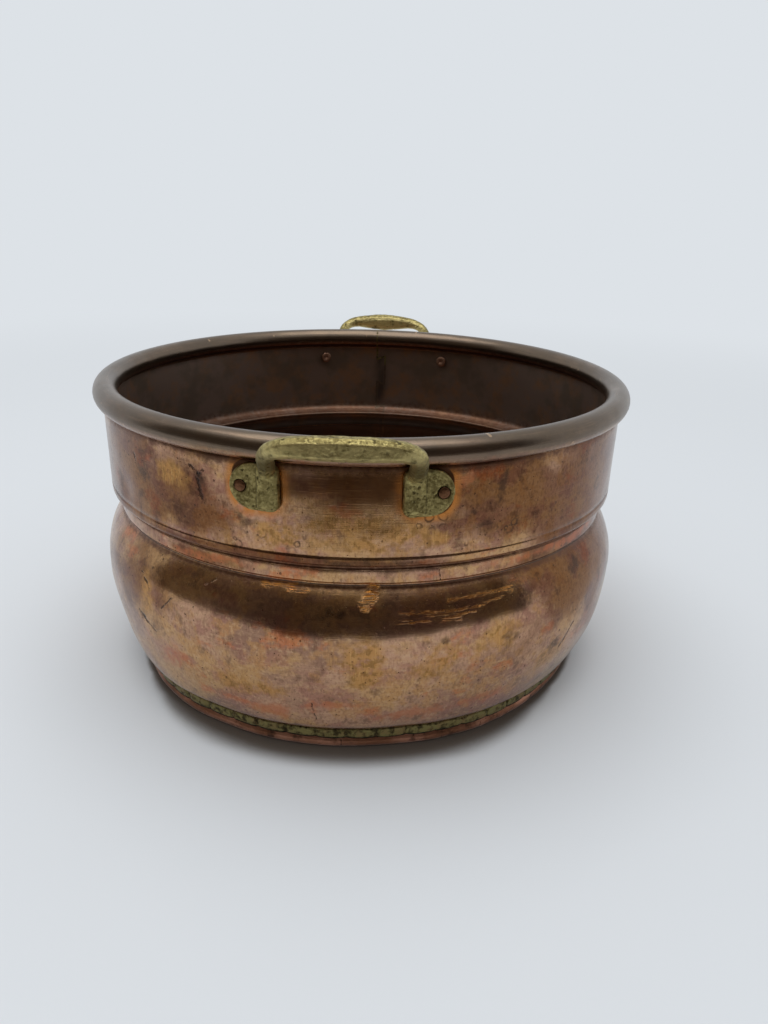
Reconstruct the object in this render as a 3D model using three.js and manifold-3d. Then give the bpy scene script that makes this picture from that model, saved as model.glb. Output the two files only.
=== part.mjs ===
// A copper mixing bowl: a waisted sheet wall rolled over an iron rim wire, brazed down its side and
// round its base with brass, and lifted by two cast brass handles that are riveted through the neck.
// Millimetres, +Z up. The origin is on the bowl's axis at the level of the table, the front is -Y.
import * as THREE from 'three';
import { mergeVertices } from 'three/addons/utils/BufferGeometryUtils.js';
import Module from 'manifold-3d';

const wasm = await Module();
wasm.setup();

const { degToRad, radToDeg, lerp } = THREE.MathUtils;

// Driving sizes of the whole bowl
const rimDiameter = 300;
const rimHeight = 165.2;
const sheetThickness = 1.2;
const fitGap = 0.3;
const cutOverrun = 6;

// Rolled rim: the sheet turns in under the roll, goes over the wire and closes on the neck outside
const rollDiameter = 12.6;
const rollBendRadius = 2.6;

// Neck, measured on its outer face; a share is of the height of the rim
const neckInset = 4.9;
const neckTaper = 0.7;
const neckHeightShare = 0.36;
const lipBendRadius = 2.6;

// Waist below the neck: a groove, a raised shoulder band and a crease, each measured from the one above
const grooveDepth = 7.2;
const grooveDrop = 2.3;
const grooveBendRadius = 1.2;
const shoulderStandout = 2.9;
const shoulderDrop = 1.9;
const shoulderFlare = 0.4;
const shoulderHeight = 5.6;
const creaseDepth = 0.9;
const creaseDrop = 1.1;

// Belly: its widest line below the crease, and the turned-in edge that meets the base
const bellyBulge = 9.8;
const bellyDropShare = 0.175;
const footInset = 16.4;
const footAngle = 62;
const turnInRadius = 14;

// Base pan, whose joggled edge stands up inside the brazed seam
const panInset = 0.8;
const panCornerRadius = 3;
const panShoulderHeight = 4.4;
const joggleDepth = 1.5;
const joggleRise = 1.4;
const lapRise = 1.2;

// Brass run round the base in cramp tabs with a slit between each two
const baseSeamHeight = 5.4;
const baseSeamTaper = 0.5;
const tabPitch = 15.2;
const tabSag = 0.4;
const slitWidth = 1.4;
const slitDepth = 0.5;

// Brass run down the side in dovetails
const sideSeamWidth = 2;
const dovetailReach = 3;
const dovetailPitch = 18;
const dovetailFlare = 1.2;
const dovetailEnd = 8;
const sideSeamTurn = 2.5;

// Cast handles: a D-shaped plate at each end, a leg over the roll and a faceted grip
const handleSpread = 37.9;
const plateWidth = 22.8;
const plateHeight = 21.6;
const plateThickness = 3.2;
const plateBevel = 0.6;
const plateCornerRadius = 3.5;
const plateDrop = 23.8;
const gripStandout = 18.4;
const gripRise = 2.6;
const gripMiddleHeight = 9.8;
const gripMiddleDepth = 9.4;
const gripCornerRadius = 16;
const legSpread = 31.6;
const legWidth = 7.2;
const legThickness = 6.8;
const ribWidth = 8;
const ribHeight = 18;
const ribStandout = 0.8;
const barChamfer = 1.9;
const gripLean = 2.9;
const frontHandleTurn = 1;
const backHandleTurn = 3.4;

// Copper rivets, one through each plate
const rivetEdge = 5.2;
const backRivetRise = 3.5;
const shankDiameter = 3.6;
const peenDiameter = 5.4;
const peenThickness = 1;
const peenCrown = 0.3;
const headDiameter = 7.2;
const headThickness = 1.2;
const dimpleDiameter = 2.2;
const dimpleDepth = 0.5;

// How finely round shapes are divided
const turns = 48;
const rollSteps = 10;
const bellySteps = 4;
const cornerSteps = 3;
const smallBendSteps = 2;
const barBendSteps = 5;
const plateCurveSteps = 4;
const wireSides = 8;
const rivetSides = 12;

// Heights and radii that follow
const rimRadius = rimDiameter / 2;
const rollRadius = rollDiameter / 2;
const rollCentre = new THREE.Vector2(rimRadius - rollRadius, rimHeight - rollRadius);
const neckRadius = rimRadius - neckInset;
const neckHeight = rimHeight * neckHeightShare;
const bellyDrop = rimHeight * bellyDropShare;
const lip = new THREE.Vector2(neckRadius - neckTaper, rimHeight - neckHeight);
const groove = new THREE.Vector2(lip.x - grooveDepth, lip.y - grooveDrop);
const shoulderTop = new THREE.Vector2(groove.x + shoulderStandout, groove.y - shoulderDrop);
const shoulderFoot = new THREE.Vector2(shoulderTop.x + shoulderFlare, shoulderTop.y - shoulderHeight);
const crease = new THREE.Vector2(shoulderFoot.x - creaseDepth, shoulderFoot.y - creaseDrop);
const belly = new THREE.Vector2(crease.x + bellyBulge, crease.y - bellyDrop);
const seamFootHeight = panShoulderHeight + joggleRise + fitGap + tabSag;
const seamTopHeight = seamFootHeight + baseSeamHeight;
const foot = new THREE.Vector2(belly.x - footInset, seamTopHeight + fitGap);
const panRadius = foot.x - panInset;
const lapRadius = panRadius - joggleDepth;
const plateMiddle = rimHeight - plateDrop;
const gripReach = rimRadius + gripStandout;
const gripHeight = rimHeight + gripRise;

/** Points along an arc in the plane of a profile, angles in degrees from the outward direction. */
function arc(centre, radius, fromAngle, toAngle, steps) {
  return Array.from({ length: steps + 1 }, (_, step) => {
    const angle = degToRad(lerp(fromAngle, toAngle, step / steps));
    const spoke = new THREE.Vector2(Math.cos(angle), Math.sin(angle));
    return spoke.multiplyScalar(radius).add(centre);
  });
}

/** The two tangent points and the bend between them, for a corner that is rounded. */
function bend(before, corner, after, radius, steps) {
  const back = before.clone().sub(corner).normalize();
  const ahead = after.clone().sub(corner).normalize();
  const halfAngle = Math.acos(THREE.MathUtils.clamp(back.dot(ahead), -1, 1)) / 2;
  const setback = radius / Math.tan(halfAngle);
  const centre = back.clone().add(ahead).setLength(radius / Math.sin(halfAngle)).add(corner);
  const start = back.setLength(setback).add(corner).sub(centre);
  const end = ahead.setLength(setback).add(corner).sub(centre);
  const sweep = radToDeg(Math.atan2(start.cross(end), start.dot(end)));
  const startAngle = radToDeg(start.angle());
  return arc(centre, radius, startAngle, startAngle + sweep, steps);
}

/** A line moved sideways, to the left of its own direction where the distance is above zero. */
function offsetLine(points, distance) {
  return points.map((point, index) => {
    const before = points[Math.max(index - 1, 0)];
    const after = points[Math.min(index + 1, points.length - 1)];
    const incoming = point === before ? after.clone().sub(point) : point.clone().sub(before);
    const outgoing = point === after ? incoming.clone() : after.clone().sub(point);
    const tangent = incoming.normalize().clone().add(outgoing.normalize()).normalize();
    const miter = distance / tangent.dot(incoming);
    return new THREE.Vector2(-tangent.y, tangent.x).multiplyScalar(miter).add(point);
  });
}

/** The closed outline of a strip that follows a line, with a width to each side of it. */
function strip(points, right, left) {
  return [...offsetLine(points, -right), ...offsetLine(points, left).reverse()];
}

/** A geometry reduced to shared positions, without triangles that have shrunk to a line. */
function welded(geometry) {
  geometry.deleteAttribute('normal');
  geometry.deleteAttribute('uv');
  const merged = mergeVertices(geometry);
  const index = merged.getIndex().array;
  const kept = [];
  for (let i = 0; i < index.length; i += 3) {
    const [a, b, c] = index.slice(i, i + 3);
    if (a !== b && b !== c && c !== a) {
      kept.push(a, b, c);
    }
  }
  merged.setIndex(kept);
  return merged;
}

/** A profile of radius and height revolved about the Z axis. */
function revolved(profile, segments) {
  const onAxis = profile[0].x === 0;
  const points = onAxis ? profile : [...profile, profile[0]];
  return welded(new THREE.LatheGeometry(points, segments)).rotateX(Math.PI / 2);
}

/** Closed rings of points skinned into one solid, with flat ends or closed round on itself. */
function skinned(rings, closed) {
  const sides = rings[0].length;
  const positions = rings.flat().flatMap((point) => point.toArray());
  const index = [];
  const bands = closed ? rings.length : rings.length - 1;
  for (let band = 0; band < bands; band += 1) {
    const next = (band + 1) % rings.length;
    for (let side = 0; side < sides; side += 1) {
      const across = (side + 1) % sides;
      const [a, b] = [band * sides + side, band * sides + across];
      const [c, d] = [next * sides + across, next * sides + side];
      index.push(a, b, c, a, c, d);
    }
  }
  const last = (rings.length - 1) * sides;
  for (let side = 1; !closed && side < sides - 1; side += 1) {
    index.push(0, side + 1, side, last, last + side, last + side + 1);
  }
  const geometry = new THREE.BufferGeometry();
  geometry.setAttribute('position', new THREE.Float32BufferAttribute(positions, 3));
  geometry.setIndex(index);
  return geometry;
}

/** The solid of a closed geometry, for joining and cutting. */
function toSolid(geometry) {
  const shell = welded(geometry.clone());
  return new wasm.Manifold(new wasm.Mesh({
    numProp: 3,
    vertProperties: new Float32Array(shell.getAttribute('position').array),
    triVerts: new Uint32Array(shell.getIndex().array),
  }));
}

/** The geometry of a solid that has been joined or cut. */
function toGeometry(solid) {
  const mesh = solid.getMesh();
  const geometry = new THREE.BufferGeometry();
  geometry.setAttribute('position', new THREE.BufferAttribute(mesh.vertProperties, 3));
  geometry.setIndex(new THREE.BufferAttribute(mesh.triVerts, 1));
  return geometry;
}

/** A place on the bowl: X runs round it, Y runs up and Z points away from the axis. */
function placeAt(azimuth, radius, height) {
  const angle = degToRad(azimuth);
  const around = new THREE.Vector3(Math.cos(angle), Math.sin(angle), 0);
  const up = new THREE.Vector3(0, 0, 1);
  const outward = new THREE.Vector3(Math.sin(angle), -Math.cos(angle), 0);
  const place = new THREE.Matrix4().makeBasis(around, up, outward);
  return place.setPosition(outward.multiplyScalar(radius).addScaledVector(up, height));
}

/** The azimuth of a point that lies a given way round the neck from the middle of a handle. */
function azimuthOf(distance) {
  return radToDeg(distance / neckRadius);
}

// Finishes, in the colours of the worn metal
const copper = { color: 0x97664f, roughness: 0.32, metalness: 1 };
const agedCopper = { color: 0x7a4a35, roughness: 0.45, metalness: 1 };
const brass = { color: 0x7d7544, roughness: 0.5, metalness: 1 };
const spelter = { color: 0x5b5637, roughness: 0.6, metalness: 1 };
const iron = { color: 0x3b3836, roughness: 0.7, metalness: 1 };

/** One named piece with a finish of its own. */
function piece(name, geometry, finish) {
  const mesh = new THREE.Mesh(geometry, new THREE.MeshStandardMaterial(finish));
  geometry.computeVertexNormals();
  mesh.name = name;
  return mesh;
}

/** The lower belly: a wide arc from the widest line, then the turn-in that ends at the foot. */
function lowerBellyLine() {
  const turnSpoke = new THREE.Vector2(Math.cos(degToRad(footAngle)), -Math.sin(degToRad(footAngle)));
  const turnCentre = foot.clone().addScaledVector(turnSpoke, -turnInRadius);
  const across = belly.x - turnCentre.x;
  const below = belly.y - turnCentre.y;
  const wideRadius = (across ** 2 + below ** 2 - turnInRadius ** 2) / (2 * (across - turnInRadius));
  const wideCentre = new THREE.Vector2(belly.x - wideRadius, belly.y);
  const meeting = radToDeg(Math.atan2(turnCentre.y - wideCentre.y, turnCentre.x - wideCentre.x));
  return [
    ...arc(turnCentre, turnInRadius, -footAngle, meeting, cornerSteps),
    ...arc(wideCentre, wideRadius, meeting, 0, bellySteps).slice(1),
  ];
}

/** The upper belly: one arc from the widest line up to the crease. */
function upperBellyLine() {
  const radius = (bellyBulge ** 2 + bellyDrop ** 2) / (2 * bellyBulge);
  const centre = new THREE.Vector2(belly.x - radius, belly.y);
  return arc(centre, radius, 0, radToDeg(Math.asin(bellyDrop / radius)), bellySteps).slice(1);
}

/** The rolled rim, from the bend at the top of the neck round the wire to the raw edge. */
function rollLine() {
  const hollowRadius = rollRadius - sheetThickness;
  const reach = hollowRadius + rollBendRadius;
  const aside = neckRadius - rollBendRadius - rollCentre.x;
  const below = Math.sqrt(reach ** 2 - aside ** 2);
  const bendCentre = rollCentre.clone().add(new THREE.Vector2(aside, -below));
  const contact = radToDeg(Math.atan2(below, -aside));
  const edgeReach = rollBendRadius + fitGap;
  const edgeCosine = (reach ** 2 + rollRadius ** 2 - edgeReach ** 2) / (2 * reach * rollRadius);
  const edgeAngle = contact - 180 + radToDeg(Math.acos(edgeCosine));
  return [
    ...arc(bendCentre, rollBendRadius, 0, contact, smallBendSteps),
    ...arc(rollCentre, hollowRadius, contact + 180, edgeAngle, rollSteps).slice(1),
  ];
}

/** The outer face of the wall, from the foot up over the rim. */
function wallLine() {
  const roll = rollLine();
  return [
    ...lowerBellyLine(),
    ...upperBellyLine(),
    shoulderFoot,
    shoulderTop,
    ...bend(shoulderTop, groove, lip, grooveBendRadius, smallBendSteps),
    ...bend(groove, lip, roll[0], lipBendRadius, cornerSteps),
    ...roll,
  ];
}

/** The dovetailed line of the side seam, as a strip of the given width through the wall. */
function seamCutter(width) {
  const rise = rimHeight - rollDiameter - foot.y - dovetailEnd;
  const count = Math.round(rise / dovetailPitch);
  const bottom = new THREE.Vector2(-dovetailReach, -cutOverrun);
  const line = [bottom];
  for (let tab = 1; tab <= count; tab += 1) {
    const height = foot.y + (rise * tab) / count;
    const side = tab % 2 === 0 ? 1 : -1;
    line.push(new THREE.Vector2(side * dovetailReach, height + dovetailFlare));
    line.push(new THREE.Vector2(-side * dovetailReach, height - dovetailFlare));
  }
  line.push(new THREE.Vector2(line.at(-1).x, rimHeight + cutOverrun));
  const outline = new THREE.Shape(strip(line, width / 2, width / 2));
  const geometry = new THREE.ExtrudeGeometry(outline, { depth: neckRadius, bevelEnabled: false });
  return toSolid(geometry.applyMatrix4(placeAt(180 - sideSeamTurn, neckRadius / 2, 0)));
}

/** A hole that clears a round piece of the given diameter and points out from the axis. */
function radialCutter(azimuth, height, diameter, fromRadius, length) {
  const radius = diameter / 2 + fitGap;
  const cutter = new THREE.CylinderGeometry(radius, radius, length, rivetSides);
  cutter.rotateX(Math.PI / 2);
  return toSolid(cutter.applyMatrix4(placeAt(azimuth, fromRadius + length / 2, height)));
}

/** The hole for a rivet's shank, through the neck and through whatever lies on it. */
function shankHole(azimuth, height) {
  return radialCutter(azimuth, height, shankDiameter, neckRadius - cutOverrun, 2 * cutOverrun);
}

// Where each handle and its rivets stand
const rivetAzimuth = azimuthOf(handleSpread + plateWidth / 2 - rivetEdge);
const plateAzimuth = azimuthOf(handleSpread);
const handles = [
  { end: 'front', azimuth: -frontHandleTurn, rivetHeight: plateMiddle },
  { end: 'back', azimuth: 180 - backHandleTurn, rivetHeight: plateMiddle + backRivetRise },
];
const sides = [
  { side: 'left', sign: -1 },
  { side: 'right', sign: 1 },
];

/** Radius of the neck's outer face at the height of the rivets. */
function neckRadiusAt(height) {
  return lerp(lip.x, neckRadius, (height - lip.y) / (rollCentre.y - lip.y));
}

const plateSeat = neckRadiusAt(plateMiddle) + fitGap;
const plateFace = plateSeat + plateThickness;

/** The sheet wall, opened along its side seam and drilled for the rivets. */
function wallAndSideSeam() {
  let wall = toSolid(revolved(strip(wallLine(), 0, sheetThickness), turns));
  const sideSeam = wall.intersect(seamCutter(sideSeamWidth));
  wall = wall.subtract(seamCutter(sideSeamWidth + 2 * fitGap));
  for (const { azimuth, rivetHeight } of handles) {
    for (const { sign } of sides) {
      wall = wall.subtract(shankHole(azimuth + sign * rivetAzimuth, rivetHeight));
    }
  }
  return { wall: toGeometry(wall), sideSeam: toGeometry(sideSeam) };
}

/** The iron wire inside the roll. */
function rimWire() {
  const wireRadius = rollRadius - sheetThickness - fitGap;
  return revolved(arc(rollCentre, wireRadius, 0, 360, wireSides).slice(1), turns);
}

/** The base: a flat disc with a rounded corner and an edge joggled in behind the brass. */
function basePan() {
  const middle = new THREE.Vector2(0, 0);
  const corner = new THREE.Vector2(panRadius, 0);
  const shoulder = new THREE.Vector2(panRadius, panShoulderHeight);
  const line = [
    middle,
    ...bend(middle, corner, shoulder, panCornerRadius, cornerSteps),
    shoulder,
    new THREE.Vector2(lapRadius, panShoulderHeight + joggleRise),
    new THREE.Vector2(lapRadius, seamTopHeight + lapRise),
  ];
  return revolved(strip(line, 0, sheetThickness), turns);
}

/** The brass round the base: every tab sags a little along its foot and a slit parts it from the next. */
function baseSeam() {
  const count = Math.round((2 * Math.PI * foot.x) / tabPitch);
  const slitShare = (slitWidth / (2 * Math.PI * foot.x)) * count;
  const stationShares = [0, slitShare / 2, 0.5, 1 - slitShare / 2];
  const rings = [];
  for (let tab = 0; tab < count; tab += 1) {
    for (const share of stationShares) {
      const angle = (2 * Math.PI * (tab + share)) / count;
      const outer = foot.x - (share === 0 ? slitDepth : 0);
      const bottom = seamFootHeight - tabSag * Math.sin(Math.PI * share);
      const section = [
        new THREE.Vector2(lapRadius + fitGap, bottom),
        new THREE.Vector2(lapRadius + fitGap, seamTopHeight),
        new THREE.Vector2(outer, seamTopHeight),
        new THREE.Vector2(outer - baseSeamTaper, bottom),
      ];
      rings.push(section.map((at) => new THREE.Vector3(
        at.x * Math.sin(angle),
        -at.x * Math.cos(angle),
        at.y,
      )));
    }
  }
  return skinned(rings, true);
}

/** The D-shaped outline of a handle plate, its straight side towards the grip. */
function plateOutline(sign) {
  const [half, end] = [plateWidth / 2 - plateBevel, plateHeight / 2 - plateBevel];
  const inner = -sign * half;
  const shape = new THREE.Shape();
  shape.moveTo(0, -end);
  shape.lineTo(inner + sign * plateCornerRadius, -end);
  shape.quadraticCurveTo(inner, -end, inner, -end + plateCornerRadius);
  shape.lineTo(inner, end - plateCornerRadius);
  shape.quadraticCurveTo(inner, end, inner + sign * plateCornerRadius, end);
  shape.lineTo(0, end);
  shape.absellipse(0, 0, half, end, Math.PI / 2, -Math.PI / 2 + (sign < 0 ? 2 * Math.PI : 0), sign > 0);
  return shape;
}

/** One plate with its low rib, still flat at the back and thick enough to be cut to the neck. */
function plate(sign) {
  const place = placeAt(sign * plateAzimuth, plateFace, plateMiddle);
  const depth = 2 * plateThickness;
  const slab = new THREE.ExtrudeGeometry(plateOutline(sign), {
    depth,
    bevelThickness: plateBevel,
    bevelSize: plateBevel,
    bevelSegments: 1,
    curveSegments: plateCurveSteps,
  });
  slab.translate(0, 0, -depth - plateBevel);
  const rib = new THREE.BoxGeometry(ribWidth, ribHeight, plateThickness);
  rib.translate(-sign * (plateWidth / 2 - ribWidth / 2 - plateBevel), 0, ribStandout - plateThickness / 2);
  return toSolid(slab.applyMatrix4(place)).add(toSolid(rib.applyMatrix4(place)));
}

/** The line of the bar: up out of one plate, over the roll, across as the grip and down again. */
function barLine() {
  const cornersOf = (sign) => {
    const seat = placeAt(sign * plateAzimuth, plateFace - plateThickness / 2, plateMiddle);
    const foothold = new THREE.Vector3(-sign * (plateWidth / 2 - ribWidth / 2 - plateBevel), 0, 0);
    const low = foothold.applyMatrix4(seat);
    const knee = low.clone().setZ(plateMiddle + plateHeight / 2 - plateCornerRadius);
    const corner = new THREE.Vector3(gripLean + sign * legSpread, -gripReach, gripHeight);
    return { low, knee, corner };
  };
  const [left, right] = [cornersOf(-1), cornersOf(1)];
  const toward = (from, to, distance) => from.clone().add(to.clone().sub(from).setLength(distance));
  const rounded = (before, corner, after, radius) => new THREE.QuadraticBezierCurve3(
    toward(corner, before, radius),
    corner,
    toward(corner, after, radius),
  ).getPoints(barBendSteps);
  const half = (near, far) => [
    near.low,
    ...rounded(near.low, near.knee, near.corner, plateCornerRadius),
    ...rounded(near.knee, near.corner, far.corner, gripCornerRadius),
    near.corner.clone().lerp(far.corner, (1 + gripCornerRadius / legSpread) / 4),
  ];
  return [...half(left, right), ...half(right, left).reverse()];
}

/** The bar of a handle: a chamfered section that swells towards the middle of the grip. */
function bar() {
  const line = barLine();
  const rings = line.map((point, index) => {
    const before = line[Math.max(index - 1, 0)];
    const after = line[Math.min(index + 1, line.length - 1)];
    const along = after.clone().sub(before).normalize();
    const legShare = THREE.MathUtils.clamp((gripHeight - point.z) / (gripHeight - plateMiddle), 0, 1);
    const facing = degToRad(Math.sign(point.x) * plateAzimuth * legShare);
    const front = new THREE.Vector3(Math.sin(facing), -Math.cos(facing), 0);
    front.addScaledVector(along, -front.dot(along)).normalize();
    const top = front.clone().cross(along);
    const swell = Math.cos((Math.PI / 2) * Math.min(Math.abs(point.x - gripLean) / legSpread, 1));
    const halfDepth = lerp(legThickness, gripMiddleDepth, swell) / 2;
    const halfHeight = lerp(legWidth, gripMiddleHeight, swell) / 2;
    const [u, v] = [halfDepth - barChamfer, halfHeight - barChamfer];
    const section = [
      [halfDepth, -v], [u, -halfHeight], [-u, -halfHeight], [-halfDepth, -v],
      [-halfDepth, v], [-u, halfHeight], [u, halfHeight], [halfDepth, v],
    ];
    return section.map(([depth, height]) => point.clone()
      .addScaledVector(front, depth)
      .addScaledVector(top, height));
  });
  return toSolid(skinned(rings, false));
}

/** A handle at the front of the bowl, its back cut to the neck and drilled for two rivets. */
function handle(rivetHeight) {
  const neckSpace = [
    new THREE.Vector2(0, lip.y),
    new THREE.Vector2(lip.x + fitGap, lip.y),
    new THREE.Vector2(neckRadiusAt(rollCentre.y) + fitGap, rollCentre.y),
    new THREE.Vector2(0, rollCentre.y),
  ];
  let body = bar();
  for (const { sign } of sides) {
    body = body.add(plate(sign));
  }
  body = body.subtract(toSolid(revolved(neckSpace, 2 * turns)));
  for (const { sign } of sides) {
    const azimuth = sign * rivetAzimuth;
    const counterbore = [peenDiameter, plateFace - peenThickness, cutOverrun];
    body = body.subtract(shankHole(azimuth, rivetHeight));
    body = body.subtract(radialCutter(azimuth, rivetHeight, ...counterbore));
  }
  return toGeometry(body);
}

/** A rivet on its own axis, from the dimpled head inside the bowl to the peened end outside. */
function rivet() {
  const facetSag = neckRadius * (1 - Math.cos(Math.PI / turns));
  const headSeat = plateSeat - sheetThickness - 3 * fitGap - facetSag;
  const headInside = headSeat - headThickness;
  const peenStart = plateFace - peenThickness + fitGap;
  const [shank, peen, head] = [shankDiameter / 2, peenDiameter / 2, headDiameter / 2];
  const profile = [
    new THREE.Vector2(0, headInside + dimpleDepth),
    new THREE.Vector2(dimpleDiameter / 2, headInside),
    new THREE.Vector2(head, headInside),
    new THREE.Vector2(head, headSeat),
    new THREE.Vector2(shank, headSeat),
    new THREE.Vector2(shank, peenStart),
    new THREE.Vector2(peen, peenStart),
    new THREE.Vector2(peen, plateFace),
    new THREE.Vector2(0, plateFace + peenCrown),
  ];
  return revolved(profile, rivetSides);
}

const bowl = new THREE.Group();
const { wall, sideSeam } = wallAndSideSeam();
bowl.add(
  piece('wall', wall, copper),
  piece('rim_wire', rimWire(), iron),
  piece('base_pan', basePan(), agedCopper),
  piece('base_brazing', baseSeam(), spelter),
  piece('side_seam_brazing', sideSeam, spelter),
);

for (const { end, azimuth, rivetHeight } of handles) {
  const mounted = new THREE.Group();
  mounted.rotation.z = degToRad(azimuth);
  mounted.add(piece(`handle_${end}`, handle(rivetHeight), brass));
  for (const { side, sign } of sides) {
    const pin = piece(`rivet_${end}_${side}`, rivet(), agedCopper);
    pin.applyMatrix4(placeAt(sign * rivetAzimuth, 0, rivetHeight));
    mounted.add(pin);
  }
  bowl.add(mounted);
}

export default bowl;
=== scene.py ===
"""The copper mixing bowl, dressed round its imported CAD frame.

The bowl is a waisted sheet wall rolled over an iron rim wire, brazed up its back and round its base
in cramp tabs, and lifted by two cast brass handles that copper rivets hold to the neck.
Sizes in the classes are millimetres and degrees. Every mesh is made in metres, where the CAD stands:
the origin is on the axis at the level of the table, +Z is up and the front is -Y.
"""

import logging
import math
from dataclasses import dataclass
from enum import Enum
from functools import partial
from typing import Callable, Iterable, Sequence

import bmesh
import bpy
import numpy as np
from mathutils import Matrix, Vector, noise


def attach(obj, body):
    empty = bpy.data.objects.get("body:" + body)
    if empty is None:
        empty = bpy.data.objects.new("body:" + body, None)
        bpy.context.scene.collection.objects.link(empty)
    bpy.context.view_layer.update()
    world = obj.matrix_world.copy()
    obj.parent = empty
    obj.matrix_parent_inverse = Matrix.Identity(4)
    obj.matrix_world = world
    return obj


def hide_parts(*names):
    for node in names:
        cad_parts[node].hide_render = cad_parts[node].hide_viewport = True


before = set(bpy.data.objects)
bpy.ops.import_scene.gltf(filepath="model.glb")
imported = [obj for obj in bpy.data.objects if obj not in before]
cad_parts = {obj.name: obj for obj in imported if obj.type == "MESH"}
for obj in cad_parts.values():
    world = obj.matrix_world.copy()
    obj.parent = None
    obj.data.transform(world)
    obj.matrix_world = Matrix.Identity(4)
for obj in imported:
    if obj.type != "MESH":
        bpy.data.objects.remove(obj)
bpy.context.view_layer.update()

MM = 0.001
FRAME_WIDTH, FRAME_HEIGHT = 768, 1024
BODY = "root"
NECK_RADIUS = 145.0
SEAM_AZIMUTH = 177.5
LOG = logging.getLogger("mixing_bowl")

MATH = "ShaderNodeMath"
MIX = "ShaderNodeMix"
NOISE = "ShaderNodeTexNoise"
RANGE = "ShaderNodeMapRange"
ROTATE = "ShaderNodeVectorRotate"
SAMPLE = "GeometryNodeSampleIndex"
VECTOR = "ShaderNodeVectorMath"

Pair = tuple[float, float]
Triple = tuple[float, float, float]
Point = Pair
Mesh = bpy.types.Mesh
Metal = bpy.types.Material
Node = bpy.types.Node
Piece = bpy.types.Object
Tree = bpy.types.NodeTree
Mask = bpy.types.NodeSocket | Node


class Look(Enum):
    """The surface marks that the meshes carry as attributes, each from 0 to 1."""

    INSIDE = "inside"
    ROLL = "roll"
    # Painted shade in the wall's steps, under its roll and on its ledge, and along the bead; marks the
    # handles' pits
    CREVICE = "crevice"
    GILT = "gilt"
    EMBER = "ember"
    # Smoke marks, some of them painted shadow, and painted shade on the handles' legs
    SMOKE = "smoke"
    SCUFF = "scuff"
    # Tarnish, partly painted dark reflection on the front neck
    TARNISH = "tarnish"
    # Soot down the seam inside, and painted shade low inside the bowl
    SOOT = "soot"


class End(Enum):
    """The two handles, with the azimuth that each stands at."""

    FRONT = -1.0
    BACK = 176.6


# Small helpers


def linear(colour: str) -> tuple[float, float, float, float]:
    """The linear red, green, blue and alpha that nodes take for an sRGB hex colour."""
    parts = [int(colour[at : at + 2], 16) / 255 for at in (1, 3, 5)]
    curve = [c / 12.92 if c <= 0.04045 else ((c + 0.055) / 1.055) ** 2.4 for c in parts]
    return (*curve, 1.0)


def add_node(tree: Tree, kind: str, inputs: dict | None = None, **settings) -> Node:
    """Adds one node to a tree.

    Args:
        tree: The tree that gets the node.
        kind: The node's Blender type.
        inputs: For its inputs, by name or number, a value, a socket or a node, whose first output it is.
        **settings: Properties of the node itself.

    Returns:
        The new node.
    """
    node = tree.nodes.new(kind)
    for name, value in settings.items():
        setattr(node, name, value)
    for key, value in (inputs or {}).items():
        if isinstance(value, Mask):
            tree.links.new(value.outputs[0] if isinstance(value, Node) else value, node.inputs[key])
        else:
            node.inputs[key].default_value = value
    return node


def smoothstep(low: float, high: float, values: np.ndarray | float) -> np.ndarray:
    """A smooth rise from 0 at low to 1 at high."""
    share = np.clip((np.asarray(values, float) - low) / (high - low), 0, 1)
    return share * share * (3 - 2 * share)


def bell(distance: np.ndarray | float, width: float) -> np.ndarray:
    """A smooth bump: 1 at no distance, and 0.37 at the width."""
    return np.exp(-((distance / width) ** 2))


def arc(centre: Point, radius: float, start: float, stop: float, steps: int) -> list[Point]:
    """Points along an arc in the plane of a section, angles in degrees from the outward direction."""
    angles = np.radians(np.linspace(start, stop, steps + 1))
    return [(centre[0] + radius * math.cos(a), centre[1] + radius * math.sin(a)) for a in angles]


def bend(before: Point, corner: Point, after: Point, radius: float, steps: int) -> list[Point]:
    """The arc that rounds a corner of a section.

    Args:
        before: A point on the line that arrives.
        corner: Where the two lines meet.
        after: A point on the line that leaves.
        radius: Radius of the rounding.
        steps: How many pieces the arc has.

    Returns:
        The points of the arc, from one tangent point to the other.
    """
    at = Vector(corner)
    back, ahead = (Vector(before) - at).normalized(), (Vector(after) - at).normalized()
    half = math.acos(max(-1.0, min(1.0, back.dot(ahead)))) / 2
    centre = at + (back + ahead).normalized() * (radius / math.sin(half))
    start, stop = (at + way * (radius / math.tan(half)) - centre for way in (back, ahead))
    sweep = math.degrees(math.atan2(start.x * stop.y - start.y * stop.x, start.dot(stop)))
    first = math.degrees(math.atan2(start.y, start.x))
    return arc(tuple(centre), radius, first, first + sweep, steps)


def resampled(points: Sequence[Point], longest: float) -> list[Point]:
    """A line with more points wherever two lie further apart than the given length.

    Args:
        points: The line.
        longest: The longest step that it may keep.

    Returns:
        The line with its new points.
    """
    line = [points[0]]
    for start, stop in zip(points, points[1:]):
        count = max(1, math.ceil(math.dist(start, stop) / longest))
        line += [tuple(np.array(start) + (np.array(stop) - start) * k / count) for k in range(1, count + 1)]
    return line


def offset(points: Sequence[Point], distance: float) -> list[Point]:
    """A line moved to the left of its own direction, with its corners mitred.

    Args:
        points: The line.
        distance: How far it moves.

    Returns:
        The moved line.
    """
    at = np.array(points)
    steps = np.diff(at, axis=0)
    steps /= np.linalg.norm(steps, axis=1)[:, None]
    arriving = np.vstack([steps[:1], steps])
    middle = arriving + np.vstack([steps, steps[-1:]])
    middle /= np.linalg.norm(middle, axis=1)[:, None]
    reach = distance / (middle * arriving).sum(1)
    return [tuple(p) for p in at + np.c_[-middle[:, 1], middle[:, 0]] * reach[:, None]]


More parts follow.
